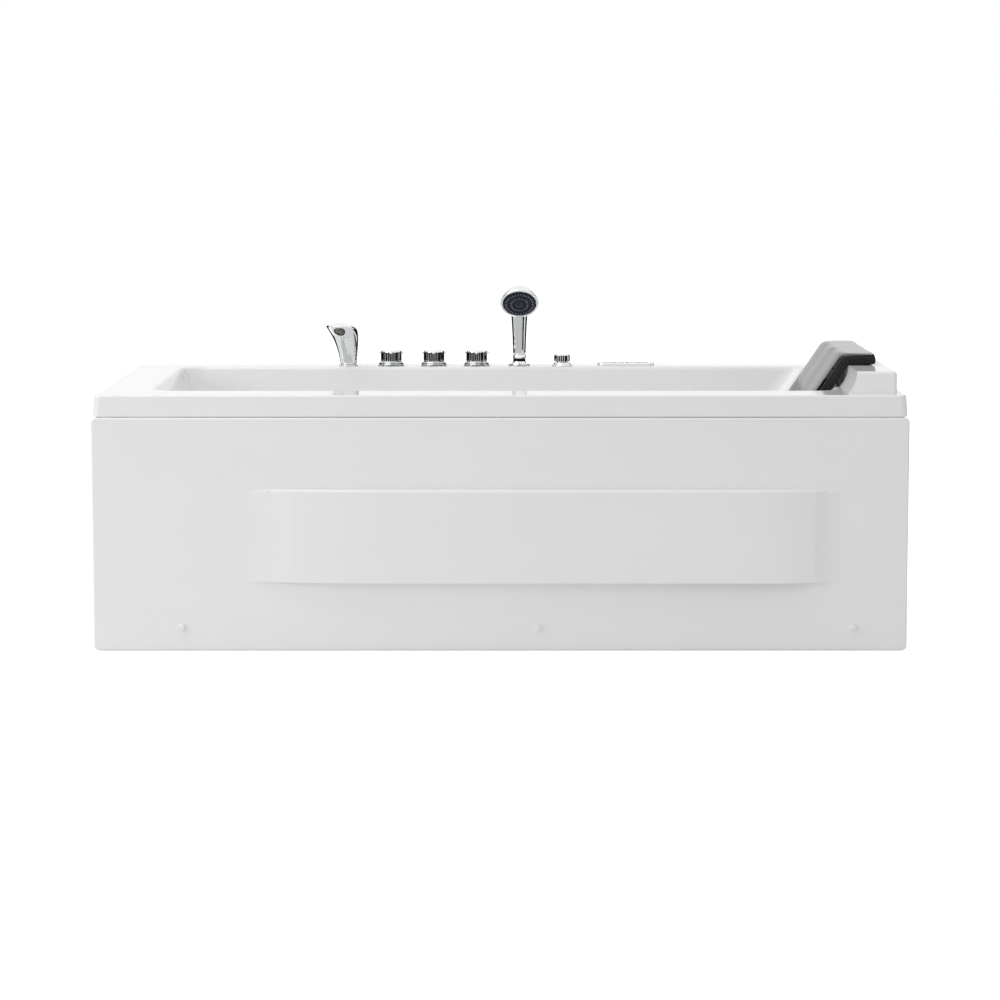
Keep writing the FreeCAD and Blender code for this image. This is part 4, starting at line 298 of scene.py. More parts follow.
def galvanised(name):
    """Hot-dip zinc: spangles about 9 mm across that differ in tone and polish."""
    material, tree, shader, place = start(name, **{"Metallic": 1.0})
    cells = add(tree, "ShaderNodeTexVoronoi", {"Vector": place, "Scale": 1 / (9 * MM)})
    tone = add(tree, "ShaderNodeSeparateColor", {0: cells.outputs["Color"]}).outputs[0]
    base = colours().steel[:]
    tree.links.new(blend(tree, tone, base, shade(base, 0.72)), shader.inputs["Base Color"])
    polish = add(tree, "ShaderNodeMapRange", {"Value": tone, "To Min": 0.33, "To Max": 0.52}).outputs[0]
    tree.links.new(polish, shader.inputs["Roughness"])
    bump = add(tree, "ShaderNodeBump", {"Height": cells.outputs["Distance"], "Distance": 0.03 * MM,
                                        "Strength": 1.0})
    tree.links.new(bump.outputs[0], shader.inputs["Normal"])
    return material


def plywood(name):
    """Birch plywood: long grain on its faces and 1.6 mm plies on its edges."""
    material, tree, shader, place = start(name, **{"IOR": 1.5})
    base = colours().plywood[:]
    grain = mottle(tree, place, 3.5, 0, 1, 5, (0.05, 1, 1))
    face = blend(tree, grain, shade(base, 1.12), shade(base, 0.72))
    height = add(tree, "ShaderNodeSeparateXYZ", {0: place}).outputs[2]
    plies = beyond(tree, add(tree, "ShaderNodeMath", {0: height, 1: 3.2 * MM}, operation="FLOORED_MODULO")
                   .outputs[0], 1.6 * MM)
    edge = blend(tree, plies, shade(base, 1.05), shade(base, 0.5))
    facing = add(tree, "ShaderNodeSeparateXYZ", {0: add(tree, "ShaderNodeNewGeometry").outputs["Normal"]})
    level = add(tree, "ShaderNodeMath", {0: facing.outputs[2]}, operation="ABSOLUTE").outputs[0]
    tree.links.new(blend(tree, beyond(tree, level, 0.5), edge, face), shader.inputs["Base Color"])
    tree.links.new(mottle(tree, place, 8, 0.55, 0.75), shader.inputs["Roughness"])
    bump = add(tree, "ShaderNodeBump", {"Height": grain, "Distance": 0.15 * MM, "Strength": 1.0})
    tree.links.new(bump.outputs[0], shader.inputs["Normal"])
    return material


def pillow_skin(name):
    """Integral-skin foam: near black and glossy, with a faint leather-like grain of 1.2 mm."""
    material, tree, shader, place = start(name, **{"IOR": 1.5, "Specular IOR Level": 0.25})
    base = colours().pillow[:]
    tree.links.new(blend(tree, mottle(tree, place, 30, 0, 1), base, shade(base, 1.6)),
                   shader.inputs["Base Color"])
    tree.links.new(mottle(tree, place, 15, 0.1, 0.13), shader.inputs["Roughness"])
    cells = add(tree, "ShaderNodeTexVoronoi", {"Vector": place, "Scale": 1 / (1.2 * MM)},
                feature="DISTANCE_TO_EDGE")
    bump = add(tree, "ShaderNodeBump", {"Height": cells.outputs["Distance"], "Distance": 0.012 * MM,
                                        "Strength": 0.5})
    tree.links.new(bump.outputs[0], shader.inputs["Normal"])
    return material


MATERIALS = {}


def make_materials():
    """Every finish, under the name of the record's material slot that uses it."""
    paint = colours()
    chrome, nylon, pipe = paint.chrome[:], paint.nylon[:], paint.pipe[:]
    made = {
        "acrylic": backed_acrylic("polished_acrylic_shell", shell_back),
        "apron_acrylic": backed_acrylic("polished_acrylic_apron", apron_back),
        # Injection-moulded caps: the same white with a soft gloss.
        "cap_plastic": surface("moulded_white_cap", paint.acrylic[:], 0.25, 0.985, 20, grain=0.5),
        # Chrome plate over brass: mirror bright, with faint wipe marks in its polish.
        "chrome": surface("bright_chrome_plate", chrome, 0.045, 0.99, 18, 0.45, 6, 0.002, Metallic=1.0),
        "galvanised": galvanised("galvanised_tube"),
        # Zinc-plated fasteners: duller than chrome, slightly yellow.
        "zinc": surface("zinc_plate", linear("B9B7AE"), 0.34, 0.85, 6, grain=0.4, Metallic=1.0),
        "plywood": plywood("birch_plywood"),
        "pad_rubber": surface("moulded_rubber", linear("1C1C1D"), 0.7, 0.7, 10, grain=0.7, depth=0.05),
        # Extruded pipe: semi-matt with faint lines along its length.
        "white_pvc": surface("extruded_white_pipe", pipe, 0.32, 0.95, 60, grain=1.5, depth=0.02),
        "grey_pvc": surface("moulded_grey_waste", paint.waste[:], 0.42, 0.9, 30, grain=0.6, depth=0.02),
        "black_nylon": surface("glass_filled_nylon", nylon, 0.5, 1.6, 9, grain=0.5, depth=0.03),
        "motor_paint": surface("motor_enamel", paint.motor[:], 0.35, 0.85, 25, grain=1.4, depth=0.03),
        "rotor_steel": surface("ground_steel", linear("9A9C9E"), 0.3, 0.8, 4, grain=0.4,
                               stretch=(1, 0.05, 1), Metallic=1.0),
        "brass": surface("turned_brass", linear("C9A45A"), 0.24, 0.82, 8, grain=0.5,
                         stretch=(1, 1, 8), Metallic=1.0),
        "spray_plastic": surface("dark_spray_plate", paint.spray[:], 0.4, 0.7, 12, grain=0.5,
                                 Specular_IOR_Level=0.25),
        "panel_plastic": surface("panel_gloss", linear("101113"), 0.12, 1.4, 30, grain=0.8, depth=0.004),
        "button_plastic": surface("plated_button", linear("C9CCD1"), 0.16, 0.9, 5, grain=0.5,
                                  Metallic=1.0),
        "pillow_foam": pillow_skin("foam_pillow_skin"),
    }
    MATERIALS.update(made)
    # Painted shade: a near-black colour on the floors of the flutes and on the walls of the fittings' steps,
    # standing in for the shade and dark reflections there.
    MATERIALS["groove"] = surface("painted_groove_shade", linear("0B0C0E"), 0.5, 0.7, 5, grain=0.5,
                                  Specular_IOR_Level=0.15)
    MATERIALS["nozzle"] = surface("soft_spray_nozzle", paint.nozzle[:], 0.4, 0.9, 3, grain=0.4)


# ---------------------------------------------------------------- mesh helpers

def profile_spin(mesh, profile, centre=Vector(), turn=None, steps=None, closed=True):
    """Turns a profile of (radius, height) corners in millimetres round its own upright axis."""
    steps = steps or sizes().facets
    verts = [mesh.verts.new((radius * MM, 0, height * MM)) for radius, height in profile]
    pairs = list(zip(verts, verts[1:])) + ([(verts[-1], verts[0])] if closed else [])
    edges = [mesh.edges.new(pair) for pair in pairs]
    made = bmesh.ops.spin(mesh, geom=verts + edges, cent=(0, 0, 0), axis=(0, 0, 1), angle=TURN,
                          steps=steps, use_merge=True, use_duplicate=False)
    last = [item for item in made["geom_last"] if isinstance(item, bmesh.types.BMVert)]
    place_new(mesh, verts + last, centre, turn)


def place_new(mesh, seeds, centre, turn):
    """Moves everything that is joined to some vertices."""
    reached, waiting = set(), [vert for vert in seeds if vert.is_valid]
    while waiting:
        vert = waiting.pop()
        if vert in reached:
            continue
        reached.add(vert)
        waiting.extend(edge.other_vert(vert) for edge in vert.link_edges)
    matrix = Matrix.Translation(centre) @ (turn.to_4x4() if turn else Matrix.Identity(4))
    bmesh.ops.transform(mesh, matrix=matrix, verts=list(reached))


def placed(name, data):
    """A new object of the scene."""
    made = bpy.data.objects.new(name, data)
    bpy.context.scene.collection.objects.link(made)
    return made


def ring(mesh, centre, width, depth, turn, count):
    """A loop of vertices round an ellipse, half width and half depth in millimetres."""
    made = bmesh.ops.create_circle(mesh, cap_ends=False, segments=count, radius=1.0)["verts"]
    scale = Matrix.Diagonal((width * MM, depth * MM, 1, 1))
    bmesh.ops.transform(mesh, matrix=Matrix.Translation(centre) @ turn.to_4x4() @ scale, verts=made)
    return made


def loop_edges(verts):
    wanted = set(verts)
    return [edge for edge in {e for v in verts for e in v.link_edges}
            if edge.verts[0] in wanted and edge.verts[1] in wanted]


def bridge(mesh, rings):
    """Joins loops of vertices in order."""
    for first, second in zip(rings, rings[1:]):
        bmesh.ops.bridge_loops(mesh, edges=loop_edges(first) + loop_edges(second))


def piece(name, mesh, slot, body="tub", nodes=(), level=0, angle=40, material=None, painted_shade=False,
          packed=False):
    """An object from a bmesh, finished, riding on its body and standing for its CAD nodes.

    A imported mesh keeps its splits, because its large flat faces shade wrongly once they are merged."""
    if not packed:
        bmesh.ops.remove_doubles(mesh, verts=mesh.verts, dist=0.01 * MM)
        loose = [edge for edge in mesh.edges if edge.is_wire]
        bmesh.ops.delete(mesh, geom=loose, context="EDGES")
        bmesh.ops.recalc_face_normals(mesh, faces=mesh.faces)
    data = bpy.data.meshes.new(name)
    mesh.to_mesh(data)
    mesh.free()
    if "custom_normal" in data.attributes:
        data.attributes.remove(data.attributes["custom_normal"])
    data.materials.append(material or MATERIALS[slot])
    # A second material, the painted shade, for the recesses that get it.
    if painted_shade:
        data.materials.append(MATERIALS["groove"])
    made = placed(name, data)
    data.shade_smooth()
    if level:
        modifier = made.modifiers.new("subdivision", "SUBSURF")
        modifier.levels = modifier.render_levels = level
    else:
        data.set_sharp_from_angle(angle=math.radians(angle))
    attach(made, body)
    if nodes:
        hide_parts(*nodes)
    return made


# ---------------------------------------------------------------- deck fittings

TAP_HANDLES = ("diverter_knob", "hot_knob", "cold_knob")


def stud(mesh, spot, height, reach, radius, angle):
    """A small round stud that points out from a handle."""
    turn = Matrix.Rotation(angle, 3, "Z") @ Matrix.Rotation(math.radians(90), 3, "X")
    root = 16
    profile = [(0, root), (radius, root), (radius, reach - 1.6), (radius * 0.85, reach - 0.6),
               (radius * 0.5, reach - 0.1), (0, reach)]
    profile_spin(mesh, profile, spot + Vector((0, 0, height * MM)), turn, 20, closed=False)


def fluted(mesh, spot, radius, low, high, count, depth, share):
    """A wall with upright grooves, whose floors take the second material, a painted shade: share is each
    rib's part.
    """
    angles, pitch, flank = [], TURN / count, 0.08
    for number in range(count):
        first = TURN * number / count
        angles += [(first, radius), (first + pitch * share, radius),
                   (first + pitch * (share + flank), radius - depth),
                   (first + pitch * (1 - flank), radius - depth)]
    verts = [mesh.verts.new((math.sin(a) * r * MM, -math.cos(a) * r * MM, low * MM)) for a, r in angles]
    edges = [mesh.edges.new((verts[i - 1], verts[i])) for i in range(len(verts))]
    raised = bmesh.ops.extrude_edge_only(mesh, edges=edges)["geom"]
    tops = [item for item in raised if isinstance(item, bmesh.types.BMVert)]
    bmesh.ops.translate(mesh, vec=(0, 0, (high - low) * MM), verts=tops)
    for face in (item for item in raised if isinstance(item, bmesh.types.BMFace)):
        middle_point = face.calc_center_median()
        if math.hypot(middle_point.x, middle_point.y) < (radius - 0.35 * depth) * MM:
            face.material_index = 1
    for loop in (verts, tops):
        bmesh.ops.edgeloop_fill(mesh, edges=loop_edges(loop))
    bmesh.ops.translate(mesh, vec=spot, verts=verts + tops)


def paint_step_shade(mesh, spots, inner, outer, heights):
    """Gives the second material, a painted shade, to the upright walls of a fitting's steps, between two
    radii and heights.
    """
    for face in mesh.faces:
        centre = face.calc_center_median()
        reach = min((centre.xy - spot.xy).length for spot in spots) / MM
        height = (centre.z - spots[0].z) / MM
        if inner < reach < outer and heights[0] < height < heights[1]:
            face.material_index = 1


def make_handles():
    """Three tap handles: a fluted drum with four studs near its top."""
    size = sizes()
    radius, low, high = (value / MM for value in (size.handle_radius, size.handle_base, size.handle_top))
    height, reach = size.stud_height / MM, size.stud_reach / MM
    bore, bore_top, studs, stud_radius = 5.2, 30.4, 4, 3
    for node in TAP_HANDLES:
        mesh, spot = bmesh.new(), deck_spot(node)
        profile_spin(mesh, [
            (bore, low), (radius - 1, low), (radius, low + 0.8), (radius, low + 2.4), (radius - 0.7, low + 3),
            (radius - 3, low + 3.2), (radius - 3, high - 5.6), (radius - 0.7, high - 5.5),
            (radius, high - 5), (radius, high - 3.2), (radius - 0.5, high - 2.2), (radius - 1.5, high - 1.5),
            (radius - 8, high - 0.5), (0, high), (0, bore_top), (bore, bore_top)], spot)
        # Painted shade on the floors of the flutes.
        fluted(mesh, spot, radius - 0.3, low + 3, high - 5.5, count=34, depth=1.9, share=0.2)
        for number in range(studs):
            stud(mesh, spot, height, reach, stud_radius, TURN * number / studs)
        piece(node.replace("knob", "handle"), mesh, "chrome", node, [node], angle=30, painted_shade=True)


def make_rosettes():
    """The stepped flanges that the handles stand on."""
    mesh = bmesh.new()
    spots = [deck_spot(node) for node in TAP_HANDLES]
    for spot in spots:
        profile_spin(mesh, [
            (14.3, 0), (30.2, 0), (31, 0.4), (31, 1.6), (30.2, 2.1), (28.8, 2.2), (28.8, 3.4), (29.6, 3.6),
            (29.9, 4.2), (29.4, 4.8), (27.4, 5), (27.4, 6.6), (28, 6.8), (28.2, 7.6), (27.6, 8.4), (26, 9),
            (14.3, 9)], spot)
    # Painted shadow on the upright walls between the rosettes' steps.
    paint_step_shade(mesh, spots, 27, 29, (2.3, 6.5))
    piece("handle_rosettes", mesh, "chrome", "tub", ["tap_rosettes"], angle=30, painted_shade=True)


def spout_spot():
    """The point of the deck under the spout's foot."""
    return Vector((SPOUT_X, middle("tap_rosettes").y, deck_level()))


def outlet_turn():
    """Turns +Z to the way that the spout's outlet faces: down to the front and the foot end."""
    return Matrix.Rotation(math.radians(-20), 3, "Z") @ Matrix.Rotation(math.radians(135), 3, "X")


def make_spout():
    """The spout: a horn that flares forwards and to the foot end under a low domed top."""
    spot = spout_spot()
    rise = (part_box("spout")[1][2] - spot.z) / MM
    # Share of the rise, then reach to the foot end, to the head end, to the front and to the rear.
    steps = [(0.025, 19.4, 19.4, 19.4, 19.4), (0.07, 20, 20, 20, 19.8), (0.2, 21.3, 20.4, 21.4, 19),
             (0.38, 25.8, 22.3, 28.5, 18.2), (0.54, 31.3, 24, 37, 18), (0.66, 36.4, 24.9, 46, 17.8),
             (0.75, 41.4, 25, 55, 17.4), (0.83, 46, 23.6, 63.4, 16.4), (0.89, 49.4, 20, 70.4, 14.6),
             (0.925, 51, 16, 74.4, 12), (0.94, 50.6, 13.4, 74.4, 10), (0.955, 48.6, 9.6, 71, 7),
             (0.975, 42.4, 2.4, 60, 0), (0.99, 34, -7, 47, -9), (0.997, 26, -16, 36, -19)]
    mesh = bmesh.new()
    rings = []
    for up, left, right, front, rear in steps:
        centre = spot + Vector((right - left, rear - front, 2 * up * rise)) * MM / 2
        rings.append(ring(mesh, centre, (left + right) / 2, (front + rear) / 2, Matrix.Identity(3), 40))
    bridge(mesh, rings)
    for loop in (rings[0], rings[-1]):
        bmesh.ops.edgeloop_fill(mesh, edges=loop_edges(loop))
    horn = piece("spout_horn", mesh, "chrome", "tub", ["spout"], level=2)
    bake(horn)
    sink_outlet(horn.data)

    mesh = bmesh.new()
    profile_spin(mesh, [(0, 0), (21.2, 0), (22, 0.5), (22, 1.7), (21.4, 2.3), (19.2, 2.5), (19.2, 4.2),
                        (0, 4.2)], spot, closed=False)
    profile_spin(mesh, [(0, -74), (13, -74), (14, -73), (14, 0), (0, 0)], spot, closed=False)
    piece("spout_foot", mesh, "chrome", "tub", ["spout"])


def outlet_spot():
    """The middle of the spout's outlet: to the foot end, forwards and up from the spout's foot."""
    return spout_spot() + Vector((-18, -61, 83)) * MM


def sink_outlet(data):
    """Presses the round seat of the outlet into the horn."""
    mouth, facing = outlet_spot(), outlet_turn() @ Vector((0, 0, 1))
    seat_radius, seat_depth, reach = 12.2 * MM, 3.4 * MM, 8 * MM
    for vert in data.vertices:
        offset = vert.co - mouth
        depth = offset.dot(facing)
        if depth > -reach and (offset - facing * depth).length < seat_radius:
            vert.co -= facing * (depth + seat_depth)


def make_aerator():
    """The outlet's dark ring and its grille of small bars."""
    mouth, facing = outlet_spot(), outlet_turn()
    mesh = bmesh.new()
    profile_spin(mesh, [(0, -5), (13.2, -5), (13.4, -1), (13.1, 0.5), (12.3, 0.9), (11.6, 0.5), (11.3, -0.6),
                        (11.3, -1.8), (0, -1.8)], mouth, facing, 48, closed=False)
    piece("spout_outlet", mesh, "black_nylon", "tub", ["spout_aerator"])
    mesh = bmesh.new()
    opening, pitch, bar_width, bar_height, sunk = 11.4, 3, 0.7, 1.0, 1.1
    for number in range(-3, 4):
        half = math.sqrt(opening ** 2 - (number * pitch) ** 2)
        for turned_bar in (0, 90):
            bar = bmesh.ops.create_cube(mesh, size=1)["verts"]
            shape = Matrix.Diagonal((bar_width * MM, 2 * half * MM, bar_height * MM, 1))
            place = (Matrix.Translation(mouth) @ facing.to_4x4()
                     @ Matrix.Rotation(math.radians(turned_bar), 4, "Z")
                     @ Matrix.Translation((number * pitch * MM, 0, -sunk * MM)) @ shape)
            bmesh.ops.transform(mesh, matrix=place, verts=bar)
    piece("spout_grille", mesh, "black_nylon", "tub", ["spout_aerator"], material=MATERIALS["zinc"])


def make_shower():
    """The hand shower: a handle that widens upwards into a deep round head."""
    size, spot = sizes(), deck_spot("shower_base")
    radius = size.head_radius / MM
    mesh = bmesh.new()
    profile_spin(mesh, [
        (10.2, -54), (13.4, -54), (14, -53.4), (14, 0), (24.8, 0), (25.5, 0.4), (25.5, 1.6), (24.8, 2.1),
        (23.4, 2.2), (23.4, 3.2), (24, 3.5), (23.8, 4.4), (21, 5), (18, 5.4), (16.6, 6.4), (15.8, 8.6),
        (15.5, 10.4), (14.3, 11), (14.3, 17), (15.5, 17.6), (15.5, 24.4), (15, 25.6), (14, 26),
        (13, 25.6), (12.8, 24.8), (12.8, 7), (10.2, 7)], spot)
    # Painted shadow on the cup's step and in its recessed band.
    paint_step_shade(mesh, [spot], 22, 24.4, (2.2, 3.3))
    paint_step_shade(mesh, [spot], 13.9, 14.8, (11.2, 16.8))
    piece("shower_cup", mesh, "chrome", "tub", ["shower_base"], painted_shade=True)

    mesh = bmesh.new()
    profile_spin(mesh, [
        (0, 7.4), (11.6, 7.4), (12.4, 8.2), (12.4, 26.4), (13, 27.4), (14.6, 28.6), (15.1, 30.4), (15.4, 40),
        (16.2, 66), (17.4, 90), (18.6, 108), (19.6, 122), (20, 130), (19, 138), (14, 146), (0, 150)], spot,
                 None, 96, closed=False)
    piece("shower_handle", mesh, "chrome", "hand_shower", ["hand_shower"], angle=60)
    mesh = bmesh.new()
    profile_spin(mesh, [
        (0, -34), (9, -33.9), (18, -33.3), (26, -31.9), (31.4, -29.4), (35, -26), (38, -21.4), (40.6, -15.4),
        (42.8, -8.6), (43.8, -5), (44, -3.6), (radius, -1.2), (radius - 0.7, -0.3), (radius - 1.8, 0),
        (39.6, 0), (38.7, -0.5), (38.4, -1.4), (38.4, -5.2), (0, -5.2)],
                 spot + Vector((0, -size.head_out, size.head_height)), face_turn(), 96, closed=False)
    piece("shower_head_bowl", mesh, "chrome", "hand_shower", ["hand_shower"], angle=50)


def face_turn():
    """Turns +Z to the way that the spray face looks."""
    return Matrix.Rotation(math.radians(90) + sizes().head_tilt, 3, "X")


def make_spray():
    """The spray face: a dark domed plate with two rings of soft nozzles and a fine centre."""
    size, spot = sizes(), deck_spot("shower_base")
    radius = size.face_radius / MM
    looking = face_turn()
    centre = spot + Vector((0, -size.head_out, size.head_height))
    mesh = bmesh.new()
    profile_spin(mesh, [(0, -4.9), (radius - 0.4, -4.9), (radius, -4.5), (radius, -0.6), (radius - 0.7, 0.3),
                        (radius - 2, 0.9), (radius - 7, 1.2), (26, 1.2), (25.4, 0.8), (24.6, 0.8), (24, 1.2),
                        (13, 1.6), (12.4, 1.2), (11.6, 1.2), (11, 1.7), (0, 2)], centre, looking, 96,
                 closed=False)
    piece("spray_plate", mesh, "spray_plastic", "spray_face", ["spray_face"], angle=50)
    mesh = bmesh.new()
    # Each ring's radius, its nozzles, their length and width, and the share of a step that it is turned by.
    rows = ((31, 30, 4.4, 1.1, 0), (19, 22, 4.2, 1.0, 0.5), (7.5, 10, 1.6, 0.8, 0), (3.2, 5, 1.3, 0.8, 0))
    nub_height, nub_level = 1.9, 1.6
    for reach, count, long, wide, turned in rows:
        for number in range(count):
            nub = bmesh.ops.create_cone(mesh, cap_ends=True, segments=8, radius1=0.5, radius2=0.34,
                                        depth=1)["verts"]
            shape = Matrix.Diagonal((long * MM, wide * MM, nub_height * MM, 1))
            place = (Matrix.Translation(centre) @ looking.to_4x4()
                     @ Matrix.Rotation(TURN * (number + turned) / count, 4, "Z")
                     @ Matrix.Translation((reach * MM, 0, nub_level * MM)) @ shape)
            bmesh.ops.transform(mesh, matrix=place, verts=nub)
    piece("spray_nozzles", mesh, "spray_plastic", "spray_face", ["spray_face"], material=MATERIALS["nozzle"])


def make_air_control():
    """The air control: a fluted knob on a stepped rosette."""
    mesh, spot = bmesh.new(), deck_spot("air_knob")
    profile_spin(mesh, [
        (5.2, 9.5), (17, 9.5), (17.6, 10), (17.6, 10.6), (17, 11), (17, 23.6), (17.7, 24), (18, 24.8),
        (17.6, 25.8), (16.4, 26.4), (10, 26.8), (0, 27), (0, 22.4), (5.2, 22.4)], spot)
    # Painted shade on the floors of the flutes.
    fluted(mesh, spot, 18.7, 11, 24, count=26, depth=1.3, share=0.38)
    piece("air_control_knob", mesh, "chrome", "air_knob", ["air_knob"], angle=30, painted_shade=True)
    mesh = bmesh.new()
    profile_spin(mesh, [
        (0, -74), (13.2, -74), (14, -73.2), (14, 0), (22.2, 0), (22.9, 0.5), (23, 1.5), (22.4, 2.4),
        (21, 2.9), (20.4, 3.3), (20.3, 5.2), (19.6, 6.6), (18.4, 7.4), (14, 7.5), (14, 9), (5, 9), (5, 22),
        (0, 22)], spot, closed=False)
    piece("air_control_rosette", mesh, "chrome", "tub", ["air_valve"], angle=30)


def stadium(mesh, spot, long, deep, height, count=20):
    """A loop with round ends, lying level."""
    verts, straight = [], (long - deep) / 2
    for side in (1, -1):
        for number in range(count + 1):
            angle = -math.pi / 2 + math.pi * number / count
            along = straight + deep / 2 * math.cos(angle)
            corner = Vector((side * along, side * deep / 2 * math.sin(angle), height))
            verts.append(mesh.verts.new(spot + corner * MM))
    for number in range(len(verts)):
        mesh.edges.new((verts[number - 1], verts[number]))
    return verts


def make_panel():
    """The control panel: a plated frame with rounded ends round a black plate and three buttons."""
    spot = deck_spot("control_panel")
    mesh = bmesh.new()
    loops = [stadium(mesh, spot, long, deep, height) for long, deep, height in (
        (131, 29, 0), (132, 30, 0.8), (132, 30, 4.6), (131, 29, 6.2), (129, 27, 6.9), (126, 24, 7),
        (125.4, 23.4, 6.6), (125.4, 23.4, 5.2))]
    bridge(mesh, loops)
    bmesh.ops.edgeloop_fill(mesh, edges=loop_edges(loops[0]))
    piece("panel_frame", mesh, "chrome", "tub", ["control_panel"], angle=45)
    mesh = bmesh.new()
    loops = [stadium(mesh, spot, long, deep, height) for long, deep, height in (
        (125, 23, 3.4), (125, 23, 6.2), (124.2, 22.2, 6.6))]
    bridge(mesh, loops)
    for loop in (loops[0], loops[-1]):
        bmesh.ops.edgeloop_fill(mesh, edges=loop_edges(loop))
    box = bmesh.ops.create_cube(mesh, size=1)["verts"]
    under_deck = Matrix.Translation(spot + Vector((0, 0, -8.2 * MM)))
    shape = Matrix.Diagonal((112 * MM, 22 * MM, 23.6 * MM, 1))
    bmesh.ops.transform(mesh, matrix=under_deck @ shape, verts=box)
    piece("panel_plate", mesh, "panel_plastic", "tub", ["control_panel"], angle=45)
    for number in range(1, 4):
        node = f"button_{number}"
        centre = middle(node)
        mesh = bmesh.new()
        on_deck = Vector((centre.x, centre.y, spot.z))
        profile_spin(mesh, [(0, 3), (5.9, 3), (6.2, 3.3), (6.3, 7.2), (6.1, 8.1), (5.4, 8.5), (4.6, 8.4),
                            (3.6, 8.0), (0, 7.8)], on_deck, None, 48, closed=False)
        piece(f"push_{node}", mesh, "button_plastic", node, [node], angle=30)


# ---------------------------------------------------------------- apron

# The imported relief, in millimetres: its ends along the tub, their curves, and how far it stands out.
RELIEF_LEFT, RELIEF_LEFT_RUN = -551, 300
RELIEF_RIGHT, RELIEF_RIGHT_RUN = 701, 140
RELIEF_OUT = 24
# The part of the apron that changes, along the tub and in height.
CHANGED_LENGTH, CHANGED_HEIGHT = (-553, 704), (100, 352)
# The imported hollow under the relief: its foot, its rise as a share of the relief's depth, and its top.
HOLLOW_FOOT, HOLLOW_RISE, HOLLOW_TOP = 118.2, 1.03, 160
# The new lower lip is straight, and the hollow goes down from it by a share of the relief's depth.
LIP_HEIGHT, HOLLOW_SHARE = 147.5, 1.27
# Places along the tub, packed and new: the right end gets steeper and the left end reaches further.
RELIEF_PLACES = [(-565, -565), (-551, -553), (-401, -435), (-251, -225), (556, 530), (631, 655), (701, 714),
                 (716, 716)]


def between(value, table):
    """The value that a table of pairs gives by straight lines."""
    for (low, first), (high, second) in zip(table, table[1:]):
        if value <= high:
            return first + (second - first) * (value - low) / (high - low)
    return table[-1][1]


def relief_depth(x):
    """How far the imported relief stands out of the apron, in millimetres along the tub."""
    share = min((x - RELIEF_LEFT) / RELIEF_LEFT_RUN, (RELIEF_RIGHT - x) / RELIEF_RIGHT_RUN)
    share = min(max(share, 0), 1)
    return RELIEF_OUT * (2 * share ** 2 if share < 0.5 else 1 - 2 * (1 - share) ** 2)


def make_apron():
    """The apron with its relief's fine form: a straight lower lip, a hollow below it, a steep right end."""
    mesh = bmesh.new()
    mesh.from_mesh(frame["nodes"]["front_apron"].data)
    for vert in mesh.verts:
        x, height = vert.co.x / MM, vert.co.z / MM
        if not (CHANGED_LENGTH[0] < x < CHANGED_LENGTH[1] and CHANGED_HEIGHT[0] < height < CHANGED_HEIGHT[1]):
            continue
        depth = relief_depth(x)
        if height < HOLLOW_TOP:
            share = min(max((height - HOLLOW_FOOT) / max(HOLLOW_RISE * depth, 0.2), 0), 1)
            vert.co.z = (LIP_HEIGHT - (1 - share) * HOLLOW_SHARE * depth) * MM
        vert.co.x = between(x, RELIEF_PLACES) * MM
    piece("embossed_apron", mesh, "apron_acrylic", "tub", ["front_apron"], angle=30, packed=True)


# ---------------------------------------------------------------- pillow

VOXEL = 4 * MM
PRESSURE = 4
CLOTH_STEPS = 20


def make_pillow():
    """The foam pillow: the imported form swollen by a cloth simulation, flat where it rests on the shell."""
    source = frame["nodes"]["pillow"]
    mesh = bmesh.new()
    mesh.from_mesh(source.data)
    bmesh.ops.remove_doubles(mesh, verts=mesh.verts, dist=0.01 * MM)
    data = bpy.data.meshes.new("head_pillow")
    mesh.to_mesh(data)
    mesh.free()
    made = placed("head_pillow", data)
    remesh = made.modifiers.new("remesh", "REMESH")
    remesh.mode, remesh.voxel_size = "VOXEL", VOXEL
    bake(made)
    before = [vert.co.copy() for vert in made.data.vertices]
    cloth = made.modifiers.new("cloth", "CLOTH")
    cloth.settings.use_pressure = True
    cloth.settings.uniform_pressure_force = PRESSURE
    cloth.settings.effector_weights.gravity = 0
    for step in range(1, CLOTH_STEPS + 1):
        bpy.context.scene.frame_set(step)
    bake(made)
    bpy.context.scene.frame_set(1)
    limit = sizes().pillow_swell
    low, high = (Vector(corner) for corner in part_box("pillow"))
    for vert, start_point in zip(made.data.vertices, before):
        move = vert.co - start_point
        if move.length > limit:
            move *= limit / move.length
        vert.co = start_point + move
        for axis in range(3):
            vert.co[axis] = min(max(vert.co[axis], low[axis]), high[axis])
    keep_off_shell(made.data)
    made.data.shade_smooth()
    smooth = made.modifiers.new("soft_skin", "SUBSURF")
    smooth.levels = smooth.render_levels = 1
    made.data.materials.clear()
    made.data.materials.append(MATERIALS["pillow_foam"])
    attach(made, "pillow")
    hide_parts("pillow")


def bake(thing):
    """Applies an object's modifiers to its mesh."""
    graph = bpy.context.evaluated_depsgraph_get()
    made = bpy.data.meshes.new_from_object(thing.evaluated_get(graph))
    thing.modifiers.clear()
    thing.data = made


def keep_off_shell(data):
    """Keeps the pillow's underside on the two faces of the shell that it rests on."""
    level = deck_level() + HEAD_RISE + PILLOW_GAP
    corner = Vector((HEAD_CORNER - PILLOW_GAP * math.tan(BACKREST_SLOPE / 2), 0, level))
    away = Vector((-math.sin(BACKREST_SLOPE), 0, math.cos(BACKREST_SLOPE)))
    for vert in data.vertices:
        if vert.co.x > corner.x and vert.co.z < level:
            vert.co.z = level
        depth = (vert.co - corner).dot(away)
        if vert.co.x <= corner.x and depth < 0:
            vert.co -= away * depth


# ---------------------------------------------------------------- stage

WORLD_LIGHT = 0.62
FLOOR_GLOW = 0.7
FLOOR_HALF = 40


